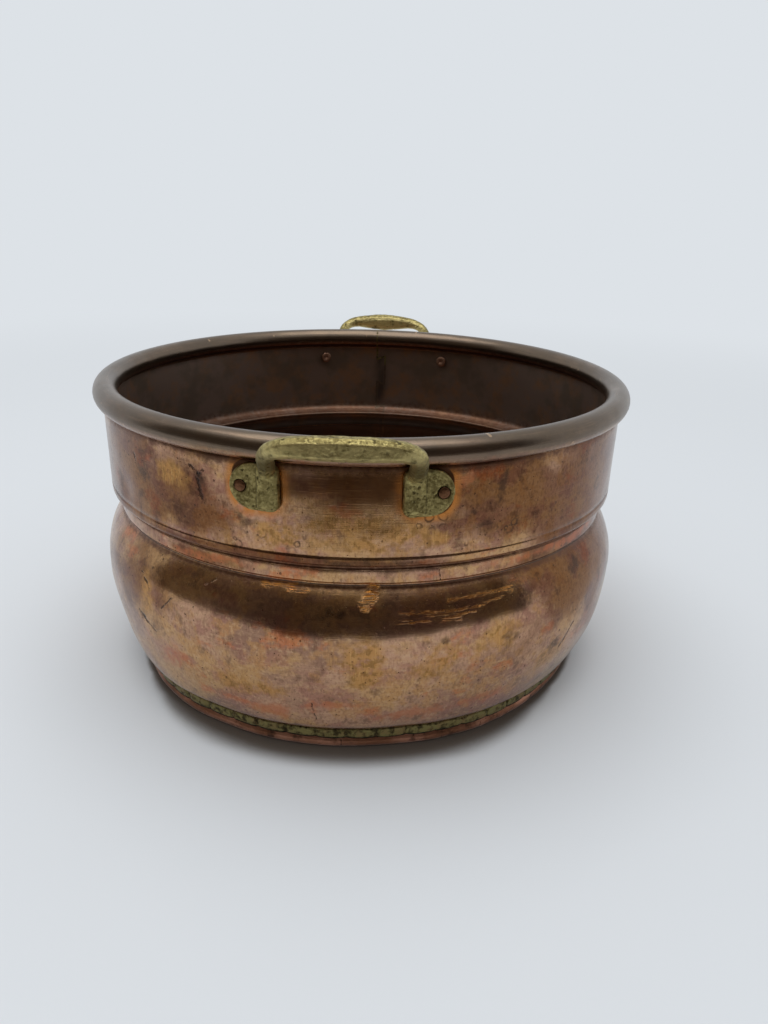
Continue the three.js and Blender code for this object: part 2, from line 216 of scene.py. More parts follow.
def azimuths(co: np.ndarray) -> np.ndarray:
    """Azimuth of each point in degrees: 0 at the front, rising towards +X."""
    return np.degrees(np.arctan2(co[:, 0], -co[:, 1]))


def turn_gap(angles: np.ndarray | float, azimuth: float) -> np.ndarray:
    """The signed angle from an azimuth to each angle, between -180 and 180."""
    return (np.asarray(angles) - azimuth + 180) % 360 - 180


def ripple(co: np.ndarray, span: float, seed: float) -> np.ndarray:
    """Smooth noise at points in metres, mostly between -1 and 1, in waves of a span in millimetres."""
    shift = Vector((seed, 2.7 * seed, -1.3 * seed))
    return np.array([noise.noise(Vector(p) / (span * MM) + shift) for p in co])


def place_at(azimuth: float, radius: float, height: float) -> Matrix:
    """A place on the bowl: X runs round it, Y runs up and Z points away from the axis.

    Args:
        azimuth: In degrees.
        radius: In millimetres.
        height: In millimetres.

    Returns:
        The place, in metres.
    """
    angle = math.radians(azimuth)
    around = Vector((math.cos(angle), math.sin(angle), 0))
    outward = Vector((math.sin(angle), -math.cos(angle), 0))
    up = Vector((0, 0, 1))
    place = Matrix((around, up, outward)).transposed().to_4x4()
    place.translation = (outward * radius + up * height) * MM
    return place


def round_ring(radius: float, height: float, sides: int) -> list[Vector]:
    """Points evenly round the Z axis."""
    spokes = np.linspace(0, 2 * math.pi, sides, endpoint=False)
    return [Vector((radius * math.cos(a), radius * math.sin(a), height)) for a in spokes]


# Meshes and objects


def coordinates(mesh: Mesh) -> np.ndarray:
    """The mesh's points as an array."""
    co = np.empty(len(mesh.vertices) * 3)
    mesh.vertices.foreach_get("co", co)
    return co.reshape(-1, 3)


def set_coordinates(mesh: Mesh, co: np.ndarray) -> None:
    """Moves the mesh's points."""
    mesh.vertices.foreach_set("co", co.astype(np.float32).ravel())
    mesh.update()


def store(mesh: Mesh, look: Look, values: np.ndarray) -> None:
    """Keeps how strong a look is at each point of a mesh as an attribute."""
    attribute = mesh.attributes.get(look.value) or mesh.attributes.new(look.value, "FLOAT", "POINT")
    attribute.data.foreach_set("value", np.asarray(values, np.float32))


def stored(mesh: Mesh, look: Look) -> np.ndarray:
    """Reads such an attribute back."""
    values = np.zeros(len(mesh.vertices), np.float32)
    mesh.attributes[look.value].data.foreach_get("value", values)
    return values


def show(name: str, mesh: Mesh) -> Piece:
    """Puts a mesh in the scene as an object at the origin."""
    thing = bpy.data.objects.new(name, mesh)
    bpy.context.scene.collection.objects.link(thing)
    return thing


def clean(mesh: Mesh) -> Mesh:
    """Merges doubles, turns every face outwards and shades the mesh smooth.

    Args:
        mesh: The mesh, which is changed.

    Returns:
        The same mesh.
    """
    work = bmesh.new()
    work.from_mesh(mesh)
    bmesh.ops.remove_doubles(work, verts=work.verts, dist=1e-6)
    bmesh.ops.dissolve_degenerate(work, edges=work.edges, dist=1e-8)
    bmesh.ops.recalc_face_normals(work, faces=work.faces)
    work.to_mesh(mesh)
    work.free()
    mesh.shade_smooth()
    return mesh


def baked(helper: Piece, name: str) -> Piece:
    """Turns a helper with live modifiers into a plain mesh object, and drops the helper.

    Args:
        helper: The helper.
        name: Name of the new object.

    Returns:
        The new object.
    """
    graph = bpy.context.evaluated_depsgraph_get()
    whole = helper.evaluated_get(graph)
    mesh = bpy.data.meshes.new_from_object(whole, preserve_all_data_layers=True, depsgraph=graph)
    mesh.name = name
    helper.modifiers.clear()
    bpy.data.objects.remove(helper)
    return show(name, mesh)


def skin(rings: Sequence[Sequence[Vector]], closed: bool = False) -> tuple[list, list]:
    """Points and faces over rings of as many points each, which meet up if closed or have capped ends.

    Args:
        rings: Rings with the same number of points each.
        closed: True where the last ring meets the first, False for two capped ends.

    Returns:
        The points and the faces.
    """
    sides = len(rings[0])
    points = [tuple(p) for ring in rings for p in ring]
    faces = []
    for band in range(len(rings) if closed else len(rings) - 1):
        here, there = band * sides, (band + 1) % len(rings) * sides
        for side in range(sides):
            across = (side + 1) % sides
            faces.append((here + side, here + across, there + across, there + side))
    if not closed:
        last = (len(rings) - 1) * sides
        faces += [tuple(range(sides))[::-1], tuple(range(last, last + sides))]
    return points, faces


def mesh_of(name: str, points: Iterable, faces: Iterable = ()) -> Mesh:
    """A mesh from points in metres and faces.

    Args:
        name: The mesh's name.
        points: Its points.
        faces: Its faces, each the numbers of its points.

    Returns:
        The mesh.
    """
    mesh = bpy.data.meshes.new(name)
    mesh.from_pydata(list(points), [], list(faces))
    mesh.update()
    return mesh


def coated(mesh: Mesh, metal: Metal) -> None:
    """Gives a mesh one material."""
    mesh.materials.clear()
    mesh.materials.append(metal)


def fitted(piece: Piece) -> Piece:
    """Makes a finished piece ride on the bowl."""
    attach(piece, BODY)
    return piece


# Node trees that shape what is turned and what repeats


def new_tree(name: str, sockets: dict[str, str]) -> tuple[Tree, Sequence, Node]:
    """An empty Geometry Nodes tree: the tree, what it is given and its output node.

    Args:
        name: The tree's name.
        sockets: The name and type of each input after the geometry.

    Returns:
        The tree, the sockets of its inputs and its output node.
    """
    tree = bpy.data.node_groups.new(name, "GeometryNodeTree")
    for label, kind in {"Geometry": "Geometry", **sockets}.items():
        tree.interface.new_socket(label, in_out="INPUT", socket_type="NodeSocket" + kind)
    tree.interface.new_socket("Geometry", in_out="OUTPUT", socket_type="NodeSocketGeometry")
    return tree, add_node(tree, "NodeGroupInput").outputs, add_node(tree, "NodeGroupOutput")


def shaped(name: str, mesh: Mesh, tree: Tree, values: dict) -> Piece:
    """Runs a tree on a mesh, with values for its inputs by name, and keeps the result as a plain mesh.

    Args:
        name: Name of the finished piece.
        mesh: What the tree starts from.
        tree: The tree.
        values: The tree's inputs by name.

    Returns:
        The new object, with no modifier left on it.
    """
    helper = show(name + "_helper", mesh)
    modifier = helper.modifiers.new(tree.name, "NODES")
    modifier.node_group = tree
    identifiers = {item.name: item.identifier for item in tree.interface.items_tree if item.in_out == "INPUT"}
    for label, value in values.items():
        modifier[identifiers[label]] = value
    return baked(helper, name)


def turning_tree() -> Tree:
    """A tree that turns a closed section, drawn in radius and height, into a full round."""
    sockets = {"Section": "Object", "Points": "Int", "Turns": "Int", "Metal": "Material"}
    tree, given, result = new_tree("turned_round_the_axis", sockets)
    add = partial(add_node, tree)
    section = add("GeometryNodeObjectInfo", {"Object": given["Section"]}).outputs["Geometry"]
    across = add(MATH, {0: given["Turns"], 1: 1.0}, operation="ADD")
    along = add(MATH, {0: given["Points"], 1: 1.0}, operation="ADD")
    size = {"Size X": 1.0, "Size Y": 1.0, "Vertices X": across, "Vertices Y": along}
    surface = add("GeometryNodeMeshGrid", size)
    place = add("GeometryNodeInputPosition")
    parts = add("ShaderNodeSeparateXYZ", {0: place}).outputs
    share = add(MATH, {0: parts["Y"], 1: 0.5}, operation="ADD")
    row = add(MATH, {0: share, 1: given["Points"]}, operation="MULTIPLY")
    whole = add(MATH, {0: row}, operation="ROUND")
    index = add(MATH, {0: whole, 1: given["Points"]}, operation="MODULO")
    turned = add(MATH, {0: parts["X"], 1: 0.5}, operation="ADD")
    angle = add(MATH, {0: turned, 1: 2 * math.pi}, operation="MULTIPLY")
    source = {"Geometry": section, "Index": index}
    picked = add(SAMPLE, {**source, "Value": place}, data_type="FLOAT_VECTOR")
    swung = add(ROTATE, {"Vector": picked, "Angle": angle}, rotation_type="Z_AXIS")
    for look in (Look.INSIDE, Look.ROLL, Look.CREVICE):
        read = add("GeometryNodeInputNamedAttribute", {"Name": look.value}, data_type="FLOAT")
        value = add(SAMPLE, {**source, "Value": read}, data_type="FLOAT")
        kept = {"Geometry": surface, "Name": look.value, "Value": value}
        surface = add("GeometryNodeStoreNamedAttribute", kept, data_type="FLOAT", domain="POINT")
    moved = add("GeometryNodeSetPosition", {"Geometry": surface, "Position": swung})
    merged = add("GeometryNodeMergeByDistance", {"Geometry": moved, "Distance": 1e-6})
    real = add("GeometryNodeRealizeInstances", {"Geometry": merged})
    metal = add("GeometryNodeSetMaterial", {"Geometry": real, "Material": given["Metal"]})
    tree.links.new(metal.outputs[0], result.inputs[0])
    return tree


def turned_piece(name: str, section: Mesh, turns: int, metal: Metal) -> Piece:
    """Turns a section, whose points lie in order in the XZ plane, into a closed piece of many turns.

    Args:
        name: Name of the piece.
        section: Its section's points in order, in the XZ plane.
        turns: How many steps the round has.
        metal: Its material.

    Returns:
        The piece, cleaned and shaded smooth.
    """
    drawn = show(name + "_section", section)
    values = {"Section": drawn, "Points": len(section.vertices), "Turns": turns, "Metal": metal}
    piece = shaped(name, bpy.data.meshes.new(name + "_seed"), turning_tree(), values)
    bpy.data.objects.remove(drawn)
    clean(piece.data)
    return piece


def row_tree() -> Tree:
    """A tree that sets one small piece at every point of a row, each a little different from the next."""
    sockets = {"Piece": "Object", "Spread": "Float", "Lumps": "Float", "Lump Size": "Float"}
    tree, given, result = new_tree("row_of_small_pieces", {**sockets, "Seed": "Int", "Metal": "Material"})
    add = partial(add_node, tree)
    small = add("GeometryNodeObjectInfo", {"Object": given["Piece"]}).outputs["Geometry"]
    facing, upward = (
        add("GeometryNodeInputNamedAttribute", {"Name": label}, data_type="FLOAT_VECTOR")
        for label in ("facing", "upward")
    )
    tilted = add("FunctionNodeAlignRotationToVector", {"Vector": facing}, axis="Z")
    ways = {"Rotation": tilted, "Vector": upward}
    turned = add("FunctionNodeAlignRotationToVector", ways, axis="Y", pivot_axis="Z")
    least = add(MATH, {0: 1.0, 1: given["Spread"]}, operation="SUBTRACT")
    most = add(MATH, {0: 1.0, 1: given["Spread"]}, operation="ADD")
    luck = {0: least, 1: most, "Seed": given["Seed"]}
    size = add("FunctionNodeRandomValue", luck, data_type="FLOAT_VECTOR")
    spread = {"Points": given["Geometry"], "Instance": small, "Rotation": turned, "Scale": size}
    real = add("GeometryNodeRealizeInstances", {"Geometry": add("GeometryNodeInstanceOnPoints", spread)})
    place = add("GeometryNodeInputPosition")
    fine = add(MATH, {0: 1.0, 1: given["Lump Size"]}, operation="DIVIDE")
    grain = add(NOISE, {"Vector": place, "Scale": fine, "Detail": 2.0}).outputs["Color"]
    centred = add(VECTOR, {0: grain, 1: (0.5, 0.5, 0.5)}, operation="SUBTRACT")
    push = add(VECTOR, {0: centred, "Scale": given["Lumps"]}, operation="SCALE")
    uneven = add("GeometryNodeSetPosition", {"Geometry": real, "Offset": push})
    metal = add("GeometryNodeSetMaterial", {"Geometry": uneven, "Material": given["Metal"]})
    tree.links.new(metal.outputs[0], result.inputs[0])
    return tree


@dataclass(frozen=True)
class Row:
    """A row of one small piece, set out by the row tree; the lumps' height and size are millimetres."""

    name: str
    spread: float
    lumps: float
    lump_size: float
    seed: int

    def build(self, small: Mesh, places: Sequence[Matrix], metal: Metal) -> Piece:
        """Sets the piece out.

        Args:
            small: The piece, facing Z.
            places: Where each goes; Z of a place is the way out, Y the way up.
            metal: The material of all.

        Returns:
            All of them as one object.
        """
        points = mesh_of(self.name + "_row", [tuple(place.translation) for place in places])
        for label, column in (("facing", 2), ("upward", 1)):
            attribute = points.attributes.new(label, "FLOAT_VECTOR", "POINT")
            ways = np.array([tuple(place.to_3x3().col[column]) for place in places], np.float32)
            attribute.data.foreach_set("vector", ways.ravel())
        pattern = show(self.name + "_pattern", small)
        values = {"Piece": pattern, "Spread": self.spread, "Seed": self.seed, "Metal": metal}
        values |= {"Lumps": self.lumps * MM, "Lump Size": self.lump_size * MM}
        row = shaped(self.name, points, row_tree(), values)
        bpy.data.objects.remove(pattern)
        clean(row.data)
        return row


# Finishes


def empty_tree(owner: Metal | bpy.types.World) -> Callable[..., Node]:
    """Clears the nodes of a material or world and returns what adds a node to them."""
    owner.use_nodes = True
    owner.node_tree.nodes.clear()
    return partial(add_node, owner.node_tree)


class Coats:
    """A metal's surface, built up coat by coat on one shader.

    The patterns lie on the place on the bowl in metres, made from Object coordinates: the way round the
    neck from the front, the height and the radius. The way round is cut at the side seam. On a disc,
    where the way round runs to a point, they lie on the Object coordinates themselves.
    """

    wander = 1.3
    wander_span = 5.0
    level = (1.0, 1.0, 0.0)

    def __init__(self, name: str, colour: str, roughness: float, disc: bool = False) -> None:
        """Starts with one bare colour and roughness, and with the patterns of a disc if it is one.

        Args:
            name: The material's name.
            colour: Its bare colour.
            roughness: Its bare roughness.
            disc: Whether the patterns lie on the Object coordinates themselves.
        """
        self.material = bpy.data.materials.new(name)
        self.add = empty_tree(self.material)
        self.colour: Mask | tuple = linear(colour)
        self.roughness: Mask | float = roughness
        self.height: Mask | float = 0.0
        place = self.add("ShaderNodeTexCoord").outputs["Object"]
        cut = {"Vector": place, "Angle": math.radians(180 - SEAM_AZIMUTH)}
        turn = self.add(ROTATE, cut, rotation_type="Z_AXIS")
        parts = self.add("ShaderNodeSeparateXYZ", {0: turn}).outputs
        front = self.add(MATH, {0: parts["Y"], 1: -1.0}, operation="MULTIPLY")
        angle = self.add(MATH, {0: parts["X"], 1: front}, operation="ARCTAN2")
        way = self.add(MATH, {0: angle, 1: NECK_RADIUS * MM}, operation="MULTIPLY")
        flat = self.add(VECTOR, {0: turn, 1: self.level}, operation="MULTIPLY")
        self.radius = self.add(VECTOR, {0: flat}, operation="LENGTH").outputs["Value"]
        sheet = {"X": way, "Y": parts["Z"], "Z": self.radius}
        self.sheet = place if disc else self.add("ShaderNodeCombineXYZ", sheet)
        waves = {"Vector": self.sheet, "Scale": 1 / (self.wander_span * MM), "Detail": 3.0}
        shift = {0: self.add(NOISE, waves).outputs["Color"], 1: (2 * self.wander * MM,) * 3, 2: self.sheet}
        self.crooked = self.add(VECTOR, shift, operation="MULTIPLY_ADD")

    def ramp(self, value: Mask, low: float, high: float, smooth: bool = True) -> Mask:
        """A mask that rises from 0 where a value is low to 1 where it is high."""
        kind = "SMOOTHSTEP" if smooth else "LINEAR"
        return self.add(RANGE, {"Value": value, "From Min": low, "From Max": high}, interpolation_type=kind)

    def patches(
        self,
        span: float,
        low: float,
        high: float,
        stretch: Sequence[float] = (1.0, 1.0, 1.0),
        detail: float = 4.0,
        seed: float = 0.0,
    ) -> Mask:
        """A mask of ragged patches.

        Args:
            span: Width of a patch in millimetres.
            low: Level of the noise where the mask starts.
            high: Level of the noise where it is full.
            stretch: How many times longer a patch is round the bowl, up it and outwards.
            detail: Octaves of finer noise in the edge.
            seed: Moves the pattern.

        Returns:
            The mask, from 0 to 1.
        """
        moved = {0: self.sheet, 1: tuple(1 / s for s in stretch), 2: (seed, -seed, seed / 2)}
        where = self.add(VECTOR, moved, operation="MULTIPLY_ADD")
        waves = {"Vector": where, "Scale": 1 / (span * MM), "Detail": detail, "Roughness": 0.6}
        return self.ramp(self.add(NOISE, waves), low, high)

    def marked(self, look: Look, wobble: float = 0.0, span: float = 4.0, seed: float = 0.0) -> Mask:
        """The mask of a mark that the mesh carries, with a ragged edge.

        Args:
            look: The mark.
            wobble: How far the noise moves the edge, as a share of the mark.
            span: Width of the noise in millimetres.
            seed: Moves the noise.

        Returns:
            The mask, from 0 to 1.
        """
        value = self.add("ShaderNodeAttribute", attribute_name=look.value).outputs["Fac"]
        if wobble == 0:
            return value
        grain = self.patches(span, 0.3, 0.7, detail=6.0, seed=seed)
        shift = self.add(MATH, {0: grain, 1: wobble, 2: -wobble / 2}, operation="MULTIPLY_ADD")
        edge = self.add(MATH, {0: value, 1: shift}, operation="ADD")
        return self.both(self.ramp(edge, 0.15, 0.85), self.ramp(value, 0.02, 0.2, smooth=False))

    def drops(self, span: float, size: float, share: float, outline: float = 0.0, seed: float = 0.0) -> Mask:
        """A mask of scattered spots or, with an outline, of the rings that dried drops leave.

        Args:
            span: Mean distance between two places for a drop, in millimetres.
            size: Largest radius of a drop in millimetres.
            share: Share of the places that have one.
            outline: Width of the ring in millimetres, or 0 for a filled spot.
            seed: Moves the pattern.

        Returns:
            The mask, from 0 to 1.
        """
        waves = {"Vector": self.sheet, "Scale": 0.4 / (size * MM), "Detail": 3.0}
        shift = {0: self.add(NOISE, waves).outputs["Color"], 1: (1.8 * size * MM,) * 3, 2: (seed, seed, seed)}
        bent = self.add(VECTOR, shift, operation="MULTIPLY_ADD")
        where = self.add(VECTOR, {0: self.sheet, 1: bent}, operation="ADD")
        cells = {"Vector": where, "Scale": 1 / (span * MM)}
        cell = self.add("ShaderNodeTexVoronoi", cells, voronoi_dimensions="2D").outputs
        luck = self.add("ShaderNodeSeparateColor", {0: cell["Color"]}).outputs
        chosen = self.add(MATH, {0: luck[0], 1: share}, operation="LESS_THAN")
        sizes = {0: luck[1], 1: 0.6 * size / span, 2: 0.4 * size / span}
        reach = self.add(MATH, sizes, operation="MULTIPLY_ADD")
        inside = self.add(MATH, {0: reach, 1: cell["Distance"]}, operation="SUBTRACT")
        low, high = 0.0, 0.3 * size / span
        if outline:
            inside = self.add(MATH, {0: inside}, operation="ABSOLUTE")
            low, high = outline / span, 0.3 * outline / span
        return self.both(self.ramp(inside, low, high, smooth=False), chosen)

    def on_sheet(self, place: Point) -> Vector:
        """Where an azimuth and a height lie on the sheet that the patterns are drawn on."""
        way = math.radians(turn_gap(place[0] + 180 - SEAM_AZIMUTH, 0).item()) * NECK_RADIUS
        return Vector((way, place[1], 0)) * MM

    def nick(self, start: Point, stop: Point, width: float) -> Mask:
        """A mask along a cut in the sheet that wanders a little.

        Args:
            start: One end, as azimuth in degrees and height in millimetres.
            stop: The other end.
            width: Width of the cut in millimetres.

        Returns:
            The mask, from 0 to 1.
        """
        middle = Vector((self.wander, self.wander, 0)) * MM
        first, last = self.on_sheet(start) + middle, self.on_sheet(stop) + middle
        run = last - first
        flat = self.add(VECTOR, {0: self.crooked, 1: self.level}, operation="MULTIPLY")
        away = self.add(VECTOR, {0: flat, 1: first}, operation="SUBTRACT")
        dot = self.add(VECTOR, {0: away, 1: run / run.length_squared}, operation="DOT_PRODUCT")
        held = self.add(MATH, {0: dot.outputs["Value"], 1: 1.0}, operation="MULTIPLY", use_clamp=True)
        foot = self.add(VECTOR, {0: run, "Scale": held}, operation="SCALE")
        gap = self.add(VECTOR, {0: away, 1: foot}, operation="DISTANCE").outputs["Value"]
        return self.ramp(gap, width * MM * 0.6, width * MM * 0.2, smooth=False)

    def around(self, plate: tuple[Point, Point, float], start: float, stop: float) -> Mask:
        """A mask that fades away from a rounded plate on the sheet.

        Args:
            plate: Its middle as azimuth and height, its half width and half height, and its corners.
            start: Distance from the plate in millimetres up to which the mask is full.
            stop: Distance where it ends.

        Returns:
            The mask, from 0 to 1.
        """
        middle, (half_width, half_height), corner = plate
        flat = self.add(VECTOR, {0: self.sheet, 1: self.level}, operation="MULTIPLY")
        aside = self.add(VECTOR, {0: flat, 1: self.on_sheet(middle)}, operation="SUBTRACT")
        size = self.add(VECTOR, {0: aside}, operation="ABSOLUTE")
        core = Vector((half_width - corner, half_height - corner, 0)) * MM
        over = self.add(VECTOR, {0: size, 1: core}, operation="SUBTRACT")
        held = self.add(VECTOR, {0: over, 1: (0.0, 0.0, 0.0)}, operation="MAXIMUM")
        reach = self.add(VECTOR, {0: held}, operation="LENGTH").outputs["Value"]
        return self.ramp(reach, (corner + stop) * MM, (corner + start) * MM)

    def both(self, mask: Mask, *others: Mask | float) -> Mask:
        """Where all of several masks meet, or a mask made weaker by a number."""
        for other in others:
            mask = self.add(MATH, {0: mask, 1: other}, operation="MULTIPLY")
        return mask

    def veil(self, mask: Mask, colour: str) -> None:
        """Darkens what is there with a thin film whose colour multiplies it."""
        film = {0: mask, 6: self.colour, 7: linear(colour)}
        self.colour = self.add(MIX, film, data_type="RGBA", blend_type="MULTIPLY").outputs[2]

    def lay(self, mask: Mask, colour: str, share: float = 1.0, roughness: float | None = None) -> None:
        """Lays a coat over what is there.

        Args:
            mask: Where the coat lies.
            colour: Its hex colour.
            share: How much it covers where the mask is full.
            roughness: Its roughness, or None to leave that as it is.
        """
        if share < 1:
            mask = self.both(mask, share)
        coat = {0: mask, 6: self.colour, 7: linear(colour)}
        self.colour = self.add(MIX, coat, data_type="RGBA").outputs[2]
        if roughness is not None:
            self.roughness = self.add(MIX, {0: mask, 2: self.roughness, 3: roughness})

    def raise_by(self, mask: Mask, height: float) -> None:
        """Raises the surface under a mask by a height in millimetres, which is below zero for a pit."""
        self.height = self.add(MATH, {0: mask, 1: height, 2: self.height}, operation="MULTIPLY_ADD")

    def finished(self) -> Metal:
        """Joins everything to a metal shader and returns the material."""
        relief = self.add("ShaderNodeBump", {"Strength": 1.0, "Distance": MM, "Height": self.height})
        surface = {"Base Color": self.colour, "Metallic": 1.0, "Roughness": self.roughness, "Normal": relief}
        shader = self.add("ShaderNodeBsdfPrincipled", surface)
        self.add("ShaderNodeOutputMaterial", {"Surface": shader})
        return self.material


@dataclass(frozen=True)
class Tint:
    """One colour that lies on a metal in ragged patches; the span is their width in millimetres."""

    colour: str
    span: float
    low: float
    high: float
    strength: float
    roughness: float
    stretch: Triple = (1.0, 1.0, 1.0)
    seed: float = 0.0
    detail: float = 6.0
    look: Look | None = None

    def lay(self, coats: Coats) -> None:
        """Lays the tint on a metal, only where the mesh has its look if it names one.

        Args:
            coats: The metal so far.
        """
        mask = coats.patches(self.span, self.low, self.high, self.stretch, self.detail, self.seed)
        if self.look:
            mask = coats.both(mask, coats.marked(self.look))
        coats.lay(mask, self.colour, self.strength, self.roughness)


@dataclass(frozen=True)
class PlanishedCopper:
    """Copper sheet, planished, heated over a range and scoured for years: patched heat colours.

    The painted glint's line, the scratches and the nicks each hold two ends, as azimuth and height, and a
    width.
    A plate holds its middle, its half width and half height, and the radius of its corners.
    """

    bare: str = "#bb9276"
    tints: tuple[Tint, ...] = (
        Tint("#856353", 46, 0.44, 0.6, 0.75, 0.2, (1.5, 1.0, 1.0), 0.11),
        Tint("#c49a66", 28, 0.47, 0.58, 0.75, 0.19, (1.4, 1.0, 1.0), 0.37),
        Tint("#9c6c5e", 17, 0.5, 0.6, 0.65, 0.2, (1.3, 1.0, 1.0), 0.59),
        Tint("#b98a58", 11, 0.53, 0.61, 0.6, 0.2, (1.0, 1.2, 1.0), 0.71),
        Tint("#bf7045", 18, 0.57, 0.66, 0.7, 0.2, (1.6, 1.0, 1.0), 0.83),
        Tint("#6b5040", 8, 0.55, 0.68, 0.6, 0.26, (1.0, 1.3, 1.0), 0.29),
        Tint("#d2ad86", 2.6, 0.5, 0.66, 0.4, 0.18, (1.0, 1.0, 1.0), 0.47),
        Tint("#6e4c3a", 1.3, 0.46, 0.66, 0.42, 0.24, (1.0, 1.6, 1.0), 0.15),
    )
    # Veil of tarnish, partly painted dark reflection where the front neck faces the dark room
    tarnish: str = "#ad9b8f"
    roll_brown: str = "#665b4f"
    roll_worn: Tint = Tint("#8c7460", 12, 0.5, 0.66, 0.35, 0.26, (4.0, 1.0, 1.0), 0.93, look=Look.ROLL)
    inner_brown: str = "#917b6d"
    inner_stain: Tint = Tint("#a67c5a", 16, 0.45, 0.65, 0.7, 0.5, seed=0.4, look=Look.INSIDE)
    inner_film: Tint = Tint("#7c6c5c", 24, 0.46, 0.62, 0.7, 0.5, (1.0, 1.0, 2.0), 0.77, look=Look.INSIDE)
    # Soot down the seam inside, also painted shade that darkens the inside towards its bottom
    soot: str = "#3e3732"
    gilt: str = "#b5844a"
    gilt_grain: str = "#7a5832"
    gilt_hair: str = "#dcb070"
    ember: str = "#bb6d47"
    glow: str = "#c07c3e"
    # Painted glint on a raised streak of the belly, also the bright colour of the scratches
    painted_glint: str = "#f0a24a"
    # Smoke marks, some of them painted shadow below a plate and under the roll
    smoke: str = "#46342a"
    # Painted shade in the waist's steps, under the roll and on the ledge
    shade: str = "#6c4c3b"
    # Grime in the pits and nicks, and painted shade in the plates' gaps and where the roll hides the sheet
    grime_and_painted_shade: str = "#2a1c15"
    scoured: str = "#e0bb95"
    painted_glint_line: tuple = ((5.2, 92.4), (3.4, 86.4), 6.0)
    scratches: tuple = (
        ((9.7, 83.0), (25.0, 82.5), 1.8), ((25.0, 82.5), (32.5, 85.6), 1.8), ((9.0, 79.6), (21.0, 78.9), 2.6),
        ((14.0, 81.2), (24.0, 80.4), 1.6), ((19.0, 86.6), (32.5, 87.2), 2.4),
        ((-16.0, 91.6), (-9.5, 92.8), 2.6), ((-11.0, 90.4), (-7.0, 91.4), 2.0),
    )
    nicks: tuple = (
        ((-46.6, 57.8), (-44.2, 54.6), 3.0), ((-45.0, 55.6), (-40.6, 49.4), 1.6),
        ((-35.5, 75.0), (-38.3, 67.4), 1.1), ((-46.0, 80.0), (-42.5, 74.8), 1.1),
        ((-28.0, 86.2), (-26.0, 90.0), 0.8), ((-6.5, 34.0), (-5.7, 22.4), 0.7),
        ((17.4, 101.0), (17.7, 95.7), 0.8), ((-28.2, 142.0), (-27.4, 131.0), 2.4),
        ((-28.2, 142.0), (-29.8, 145.6), 1.7), ((-28.0, 141.0), (-26.6, 144.6), 1.5),
        ((-47.0, 141.6), (-46.2, 138.0), 1.2), ((50.5, 55.0), (47.0, 44.0), 2.2),
    )
    plates: tuple = tuple(
        ((end.value + side * 15.0, 141.4), (11.2, 10.7), 7.0) for end in End for side in (-1, 1)
    )
    painted_glint_height: float = 0.3
    scratch_height: float = 0.05
    nick_height: float = -0.15
    facet_height: float = 0.16
    pit_height: float = -0.03
    wiped_height: float = 0.012
    streak_height: float = 0.008

    def material(self) -> Metal:
        """The material, with its marks read from the wall's attributes."""
        coats = Coats("planished_copper", self.bare, 0.18)
        for tint in self.tints:
            tint.lay(coats)
        # Wiping leaves hairs 0.6 mm wide up the wall and scouring leaves streaks 0.8 mm wide round it
        wiped = coats.patches(0.6, 0.45, 0.8, (1.0, 16.0, 1.0), 2.0, 0.21)
        streak = coats.patches(0.8, 0.5, 0.8, (24.0, 1.0, 1.0), 2.0, 0.77)
        coats.lay(streak, self.scoured, 0.2)
        coats.lay(wiped, self.scoured, 0.16)
        # Tarnish, partly painted dark reflection at the top of the front neck
        coats.veil(coats.marked(Look.TARNISH, 0.5, 24, 0.33), self.tarnish)
        pits = coats.drops(3.4, 0.34, 0.18, seed=0.51)
        self.heat_colours(coats, wiped)
        coats.lay(pits, self.grime_and_painted_shade, 0.7, 0.5)
        self.rim_and_inside(coats, streak)
        self.scratched(coats)
        # Hammer facets are about 14 mm across and a few hundredths deep, the hairs far finer
        coats.raise_by(coats.patches(14, 0.2, 0.8, detail=0, seed=0.9), self.facet_height)
        coats.raise_by(pits, self.pit_height)
        coats.raise_by(wiped, self.wiped_height)
        coats.raise_by(streak, self.streak_height)
        return coats.finished()

    def heat_colours(self, coats: Coats, wiped: Mask) -> None:
        """The gilt and ember patches, the glow round the plates and the painted shadow in their gaps, and the
        smoke marks, partly painted shadow.

        Args:
            coats: The metal so far.
            wiped: The mask of the wiped hairs.
        """
        mottle = coats.patches(5, 0.28, 0.52, detail=7, seed=0.05)
        gilt = coats.both(coats.marked(Look.GILT, 0.7, 11, 0.12), mottle)
        coats.lay(gilt, self.gilt, 0.8, 0.2)
        coats.lay(coats.both(gilt, coats.patches(3, 0.47, 0.58, detail=6, seed=0.7)), self.gilt_grain, 0.65)
        coats.lay(coats.both(gilt, wiped), self.gilt_hair, 0.45)
        coats.lay(coats.both(coats.marked(Look.EMBER, 0.7, 7, 0.45), mottle), self.ember, 0.6, 0.2)
        worn = coats.patches(9, 0.25, 0.5, detail=5, seed=0.18)
        for plate in self.plates:
            coats.lay(coats.both(coats.around(plate, 0.8, 5.5), worn), self.glow, 0.9, 0.2)
            # Painted shadow in the gap along each plate's edge
            coats.lay(coats.around(plate, 0.1, 0.9), self.grime_and_painted_shade, 0.9, 0.5)
        rings = coats.both(coats.drops(5.5, 2.2, 0.6, 0.7), coats.marked(Look.SCUFF))
        coats.lay(rings, self.smoke, 0.85, 0.3)
        coats.lay(coats.drops(7, 0.7, 0.4, seed=0.09), self.smoke, 0.6, 0.4)
        # Smoke marks, some of them painted shadow below a plate and under the roll
        coats.lay(coats.marked(Look.SMOKE, 0.6, 5, 0.63), self.smoke, 0.72, 0.32)

